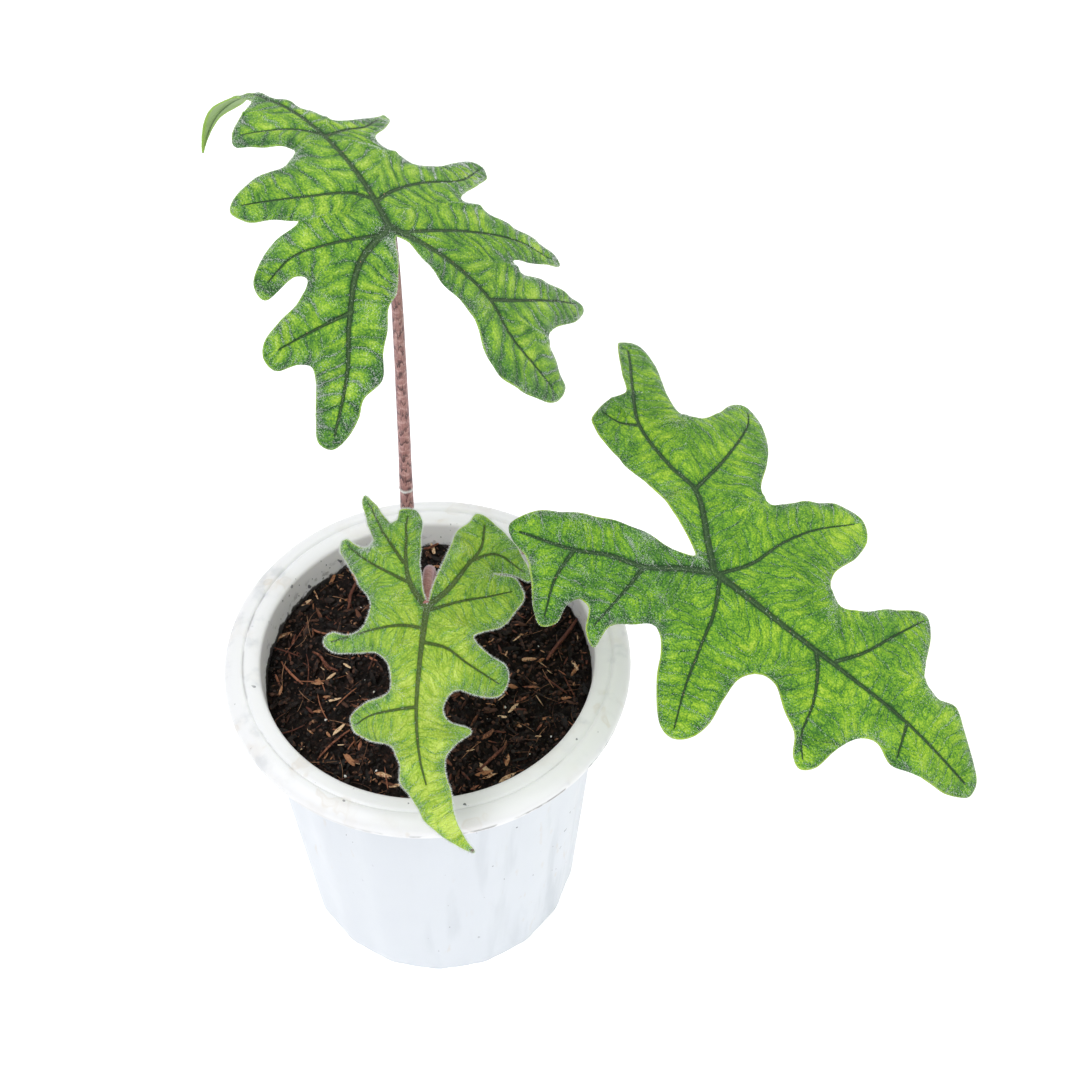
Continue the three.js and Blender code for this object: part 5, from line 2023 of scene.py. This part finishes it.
def bent_tube(line: np.ndarray, radius: float, sides: int = 5) -> tuple[np.ndarray, np.ndarray]:
    """Makes the points and triangles of a slim closed tube with narrowed ends.

    Args:
        line: The tube's middle line in millimetres.
        radius: Its largest radius.
        sides: Corners of its section.

    Returns:
        Points and triangles.
    """
    way = np.gradient(line, axis=0)
    way /= np.linalg.norm(way, axis=1, keepdims=True)
    across = np.cross(way, [0, 0, 1.0])
    across /= np.linalg.norm(across, axis=1, keepdims=True)
    up = np.cross(across, way)
    angle = np.arange(sides) * 2 * math.pi / sides
    share = np.linspace(0, 1, len(line))
    slim = radius * (0.45 + 0.55 * np.sin(np.pi * np.clip(share, 0.03, 0.97)) ** 0.5)
    spoke = np.cos(angle)[:, None] * across[:, None] + np.sin(angle)[:, None] * up[:, None]
    points = (line[:, None] + spoke * slim[:, None, None]).reshape(-1, 3)
    number = np.arange(len(line) * sides).reshape(-1, sides)
    after = np.roll(number, -1, 1)
    first = np.stack([number[:-1], number[1:], after[1:]], -1).reshape(-1, 3)
    second = np.stack([number[:-1], after[1:], after[:-1]], -1).reshape(-1, 3)
    caps = [[number[0][0], number[0][i], number[0][i + 1]] for i in range(1, sides - 1)]
    ends = [[number[-1][0], number[-1][i + 1], number[-1][i]] for i in range(1, sides - 1)]
    return points, np.vstack([first, second, caps, ends])


# Stem base


@dataclass
class StemBase:
    """The short ringed corm that the stalks grow from."""

    finish: BitFinish
    place: Pair
    profile: list[Pair]
    segments: int = 120

    def build(self) -> bpy.types.Object:
        """Builds the corm.

        Returns:
            The corm's object.
        """
        piece = turned("stem_base_corm", self.profile, self.segments)
        bpy.ops.object.mode_set(mode="EDIT")
        bpy.ops.mesh.select_all(action="SELECT")
        bpy.ops.transform.translate(value=(self.place[0] * MM, self.place[1] * MM, 0))
        bpy.ops.object.mode_set(mode="OBJECT")
        mesh = piece.data
        points = read_points(mesh) / MM
        centre = np.array([*self.place, 0])
        rough = ripple_noise(points * [1, 1, 0.5], 2.4, 4.0) * 0.25 + ripple_noise(points, 0.9, 8.0) * 0.1
        out = (points - centre) * [1, 1, 0]
        out /= np.maximum(np.linalg.norm(out, axis=1, keepdims=True), 1e-6)
        points = points + out * rough[:, None]
        mesh.vertices.foreach_set("co", (points * MM).ravel())
        mesh.shade_smooth()
        mesh.update()
        set_value(piece, "bit", np.full(len(points), 0.5))
        finish_piece(piece, self.finish.material())
        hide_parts("stem_base")
        return piece


CORM_SKIN = BitFinish(
    "corm_skin", ink(118, 84, 62), ink(62, 40, 30), ink(172, 138, 106), 0.8, stretch=(1.0, 1.0, 0.3),
)


# Studio


@dataclass
class Studio:
    """A pale floor, soft lights and the camera."""

    camera_place: Triple = (0.0414, -0.4248, 0.7429)
    camera_tilt: float = 38.68
    lens: float = 66.2
    lights_aim: Triple = (0.03, 0.0, 0.15)

    def build(self) -> None:
        """Builds the floor, the lights and the camera."""
        scene = bpy.context.scene
        scene.view_settings.view_transform = "Standard"
        self.lay_floor()
        self.light("key", (-0.8, -0.5, 1.75), 1.3, 19.0)
        self.light("fill", (1.2, -0.7, 1.2), 1.4, 10.0)
        self.light("back", (0.2, 1.4, 1.3), 1.2, 7.0)
        world = bpy.data.worlds.new("soft_room")
        world.use_nodes = True
        glow = world.node_tree.nodes["Background"].inputs
        glow["Color"].default_value = WHITE
        glow["Strength"].default_value = 0.55
        scene.world = world
        data = bpy.data.cameras.new("camera")
        data.lens = self.lens
        data.sensor_width = 36
        camera = bpy.data.objects.new("camera", data)
        camera.location = self.camera_place
        camera.rotation_euler = (self.camera_tilt * DEGREE, 0, 0)
        scene.collection.objects.link(camera)
        scene.camera = camera

    def lay_floor(self) -> None:
        """Lays the plain pale floor."""
        bpy.ops.object.select_all(action="DESELECT")
        bpy.ops.mesh.primitive_plane_add(size=6)
        floor = bpy.context.object
        floor.name = "floor"
        made = Shader("pale_floor")
        tone = made.noise(made.object_place(), 3.0, 2.0)
        colour = made.mix(tone, ink(250, 250, 250), ink(254, 254, 254))
        floor.data.materials.append(made.set(
            Base_Color=colour, Roughness=0.9, Emission_Color=WHITE, Emission_Strength=0.3,
        ))

    def light(self, name: str, place: Triple, size: float, power: float) -> None:
        """Hangs one soft square light that faces the plant.

        Args:
            name: The light's name.
            place: Where it hangs, in metres.
            size: Its side in metres.
            power: Its power in watts.
        """
        data = bpy.data.lights.new(name, "AREA")
        data.size = size
        data.energy = power
        lamp = bpy.data.objects.new(name, data)
        lamp.location = place
        aim = Vector(self.lights_aim) - Vector(place)
        lamp.rotation_euler = aim.to_track_quat("-Z", "Y").to_euler()
        bpy.context.scene.collection.objects.link(lamp)


def main() -> None:
    """Builds the whole plant in its pot and the studio round it."""
    logging.basicConfig(level=logging.INFO, format="%(name)s %(message)s")
    builders = [
        NurseryPot(POT_FINISH, POT_PROFILE),
        PottingMix(60.9, 3.4, SOIL_KINDS, seed=21),
        StemBase(CORM_SKIN, (1.0, 12.5), CORM_PROFILE),
        *STALKS,
        *BLADES,
    ]
    for builder in builders:
        made = builder.build()
        for piece in made if isinstance(made, list) else [made]:
            LOG.info("%s: %d faces", piece.name, len(piece.data.polygons))
    Studio().build()
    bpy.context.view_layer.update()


POT_FINISH = PotFinish(
    name="white_plastic", body=ink(211, 216, 223), cool_tint=ink(176, 183, 190), rim=ink(230, 231, 233),
    stain=ink(200, 186, 166), dirt_and_shade=ink(44, 36, 36), ink_mark=ink(46, 50, 66),
)
POT_PROFILE: list[Pair] = [
    (0.4, 0), (30, 0), (38, 0), (52.9, 0), (53.6, 0.1), (54.4, 0.7), (54.9, 2), (55.3, 7), (55.66, 12),
    (57.2, 34), (58.8, 56), (60.3, 78), (61.8, 100), (63.3, 121), (63.9, 128), (64.3, 134.5), (64.7, 140),
    (64.85, 141.8), (65.3, 142.4), (66.2, 142.5), (72.6, 141.8), (73.0, 141.5), (73.1, 141.0), (73.1, 139.7),
    (73.3, 139.3), (73.9, 139.1), (74.5, 139.3), (74.75, 139.9), (75, 141.5), (74.9, 142.6), (74.5, 143.6),
    (73.7, 144.4), (72.7, 145.1), (71.6, 145.7), (70.4, 146.1), (69.2, 146.3), (68.5, 146.2), (68.1, 145.9),
    (67.8, 145.6), (67.5, 145.7), (67.2, 146.0), (66.8, 146.2), (65.4, 146.1), (63.9, 145.9), (62.7, 145.6),
    (62.0, 145.2), (61.6, 144.6), (61.4, 143.6), (61.0, 137), (59, 107), (57, 77.5), (55, 47.7), (53, 18),
    (52.2, 5), (51.7, 3.6), (50.6, 3.1), (49, 3), (38, 3), (30, 3), (0.4, 3),
]
CORM_PROFILE: list[Pair] = [
    (0.4, 112.0), (11.4, 112.0), (11.9, 112.5), (12.0, 116), (12.0, 126), (11.8, 130), (11.2, 131.6),
    (10.9, 133),
    (11.3, 134.2), (11.5, 135.2), (11.2, 136.2), (10.4, 136.8), (10.2, 137.4), (9.6, 138.3), (8.4, 139),
    (6.5, 139.6), (3.5, 139.95), (0.4, 140.0),
]
SOIL_KINDS: list[BitKind] = [
    BitKind("bark", BARK, 320, (2.6, 7.5), (0.16, 0.4), 0.5, 32, 0.7, 2),
    BitKind("red_bark", RED_BARK, 190, (1.4, 5.2), (0.12, 0.3), 0.6, 30, 0.2, 2),
    BitKind("crumbs", BARK, 3600, (0.5, 2.0), (0.35, 1.0), 0.7, 45, 0.1, 1),
    BitKind("brown_crumbs", FIBRE, 420, (0.6, 2.2), (0.22, 0.6), 0.6, 40, 0.0, 1),
    BitKind("husk", HUSK, 180, (1.6, 6.6), (0.14, 0.36), 0.4, 24, -0.1, 2),
    BitKind("grit", GRIT, 22, (0.5, 1.3), (0.6, 1.0), 0.8, 40, -0.4, 1),
]
STICKS: list[tuple[Pair, Pair, float]] = [
    ((55.8, 23.7), (44.0, 3.3), 0.8), ((-29.8, 40.9), (-32.0, 26.6), 0.7), ((2.4, -1.2), (6.0, -9.0), 0.9),
    ((1.1, 60.0), (-4.3, 56.2), 0.6), ((-44.0, 8.0), (-34.0, -2.0), 0.6), ((30.0, -32.0), (20.0, -44.0), 0.6),
]
STALKS: list[Stalk] = [
    Stalk(
        "petiole_tall",
        [(-5.4, 17, 134.3), (-5.6, 18.6, 170), (-5.2, 20, 207), (-4, 20.5, 262), (-3.2, 20.2, 312),
        (-3.4, 20, 335.6)],
        [3.2, 2.8, 2.4, 2.05, 1.8, 1.7], MOTTLED_SKIN, 3, 260, scar=82.0,
    ),
    Stalk(
        "petiole_right",
        [
            (7.4, 14.6, 134.3), (8.2, 14.7, 142), (17, 14.8, 162), (33.5, 12, 191), (58, -2, 214),
            (82, -18, 224),
            (96.6, -27.6, 230.4),
        ],
        [2.9, 2.4, 2.1, 1.9, 1.8, 1.8], MOTTLED_SKIN, 4, 160,
    ),
    Stalk(
        "petiole_front",
        [(1, 6.8, 134.3), (2.2, 9, 160), (2.6, 7, 184), (2.6, 0, 194.5), (2.4, -9, 198), (2.7, -17.8, 198.6)],
        [2.7, 2.3, 2, 1.95, 1.9, 1.8], DUSTY_SKIN, 5, 160,
    ),
]
BLADES: list[Blade] = [
    Blade(
        node="leaf_tall", slot="leaf",
        form=BladeForm((-3.5, 20, 337), 28, 13, 18, 0.38, 0.34, 1.8, 76, -5, (0.5, 0.28), (0.2, 0.2)),
        finish=GROWN_LEAF, outline=TALL_OUTLINE, main_veins=TALL_MAIN_VEINS, side_veins=TALL_SIDE_VEINS,
        ripple=(0.3, 13), main_width=(1.35, 0.35), side_width=(0.76, 0.2), lean=0.5, quilt=0.5, crimp=0.1,
        seed=11, ridge_hairs=17000, hair_length=(0.22, 0.6), fringe_step=0.22, fringe_length=(0.25, 0.6),
        tip_start=84,
        shades=(
            (15, 16, 9, 0.1), (28, 36, 7, 0.08), (-24, 39, 9, 0.05), (-42, 36, 12, -0.12), (-1, -31, 9, 0.06),
        ),
    ),
    Blade(
        node="leaf_right", slot="leaf",
        form=BladeForm((98, -29, 232), -124, -12, 3, 0.25, -0.15, 0, 70, -3, (0.28, 0.12), (0.1, -0.1)),
        finish=LOW_LEAF, outline=RIGHT_OUTLINE, main_veins=RIGHT_MAIN_VEINS, side_veins=RIGHT_SIDE_VEINS,
        ripple=(0.4, 15), main_width=(1.4, 0.4), side_width=(0.76, 0.2), lean=0.5, quilt=0.34, crimp=0.1,
        seed=12, ridge_hairs=17000, hair_length=(0.2, 0.5), fringe_step=0.22, fringe_length=(0.25, 0.6),
        shades=(
            (-25, -29, 14, -0.16), (-12, -9, 12, -0.14), (-48, -26, 10, -0.08), (-38, 14, 11, 0.1),
            (94, -2, 11, 0.15),
            (25, -10, 11, 0.06), (10, 5, 8, 0.06), (30, 47, 9, 0.17),
        ),
    ),
    Blade(
        node="leaf_front", slot="young_leaf",
        form=BladeForm((2.8, -19.5, 200), -181, -27, 8, 0.12, 0.12, 0, 70, -4, (0.35, 0.3), (0.1, 0.1)),
        finish=YOUNG_LEAF, outline=FRONT_OUTLINE, main_veins=FRONT_MAIN_VEINS, side_veins=FRONT_SIDE_VEINS,
        ripple=(0.6, 10), main_width=(1.3, 0.3), side_width=(0.65, 0.2), lean=0.45, quilt=0.3, crimp=0.1,
        seed=13, ridge_hairs=9000, hair_length=(0.2, 0.55), fringe_step=0.06, fringe_length=(0.5, 1.1),
        step=0.5,
        shades=(
            (38, 2, 18, 0.18), (66, 8, 17, 0.16), (76, 10, 11, 0.24), (10, 6, 15, 0.14),
            (-28, -14, 12, -0.04), (-23, -31, 10, -0.12),
            (-18, -25, 8, -0.08), (-15, 20, 9, -0.05), (30, 22, 10, -0.08), (6, 26, 8, -0.06),
            (82.3, 16.2, 0.9, -2.2), (79, 13, 6, 0.2),
        ),
        folds=(
            ([(-26, -20), (-28, -16), (-28.6, -11), (-28, -8.6), (-30.3, -5), (-33, -2.5)], 1.3, 1.8),
            ([(-31, 15), (-27, 16.4), (-25.3, 20.4), (-26, 24.7), (-23.6, 27.4)], 1.2, 1.8),
            ([(-20.5, -31), (-20, -26.7), (-18.9, -22.3), (-21.2, -19.2)], 0.9, 1.8),
            ([(56.7, -1.6), (62.6, 0.9), (69.8, 4.9), (74.6, 8.9), (79.4, 12.9)], -0.8, 1.2),
        ),
    ),
]


if __name__ == "__main__":
    main()
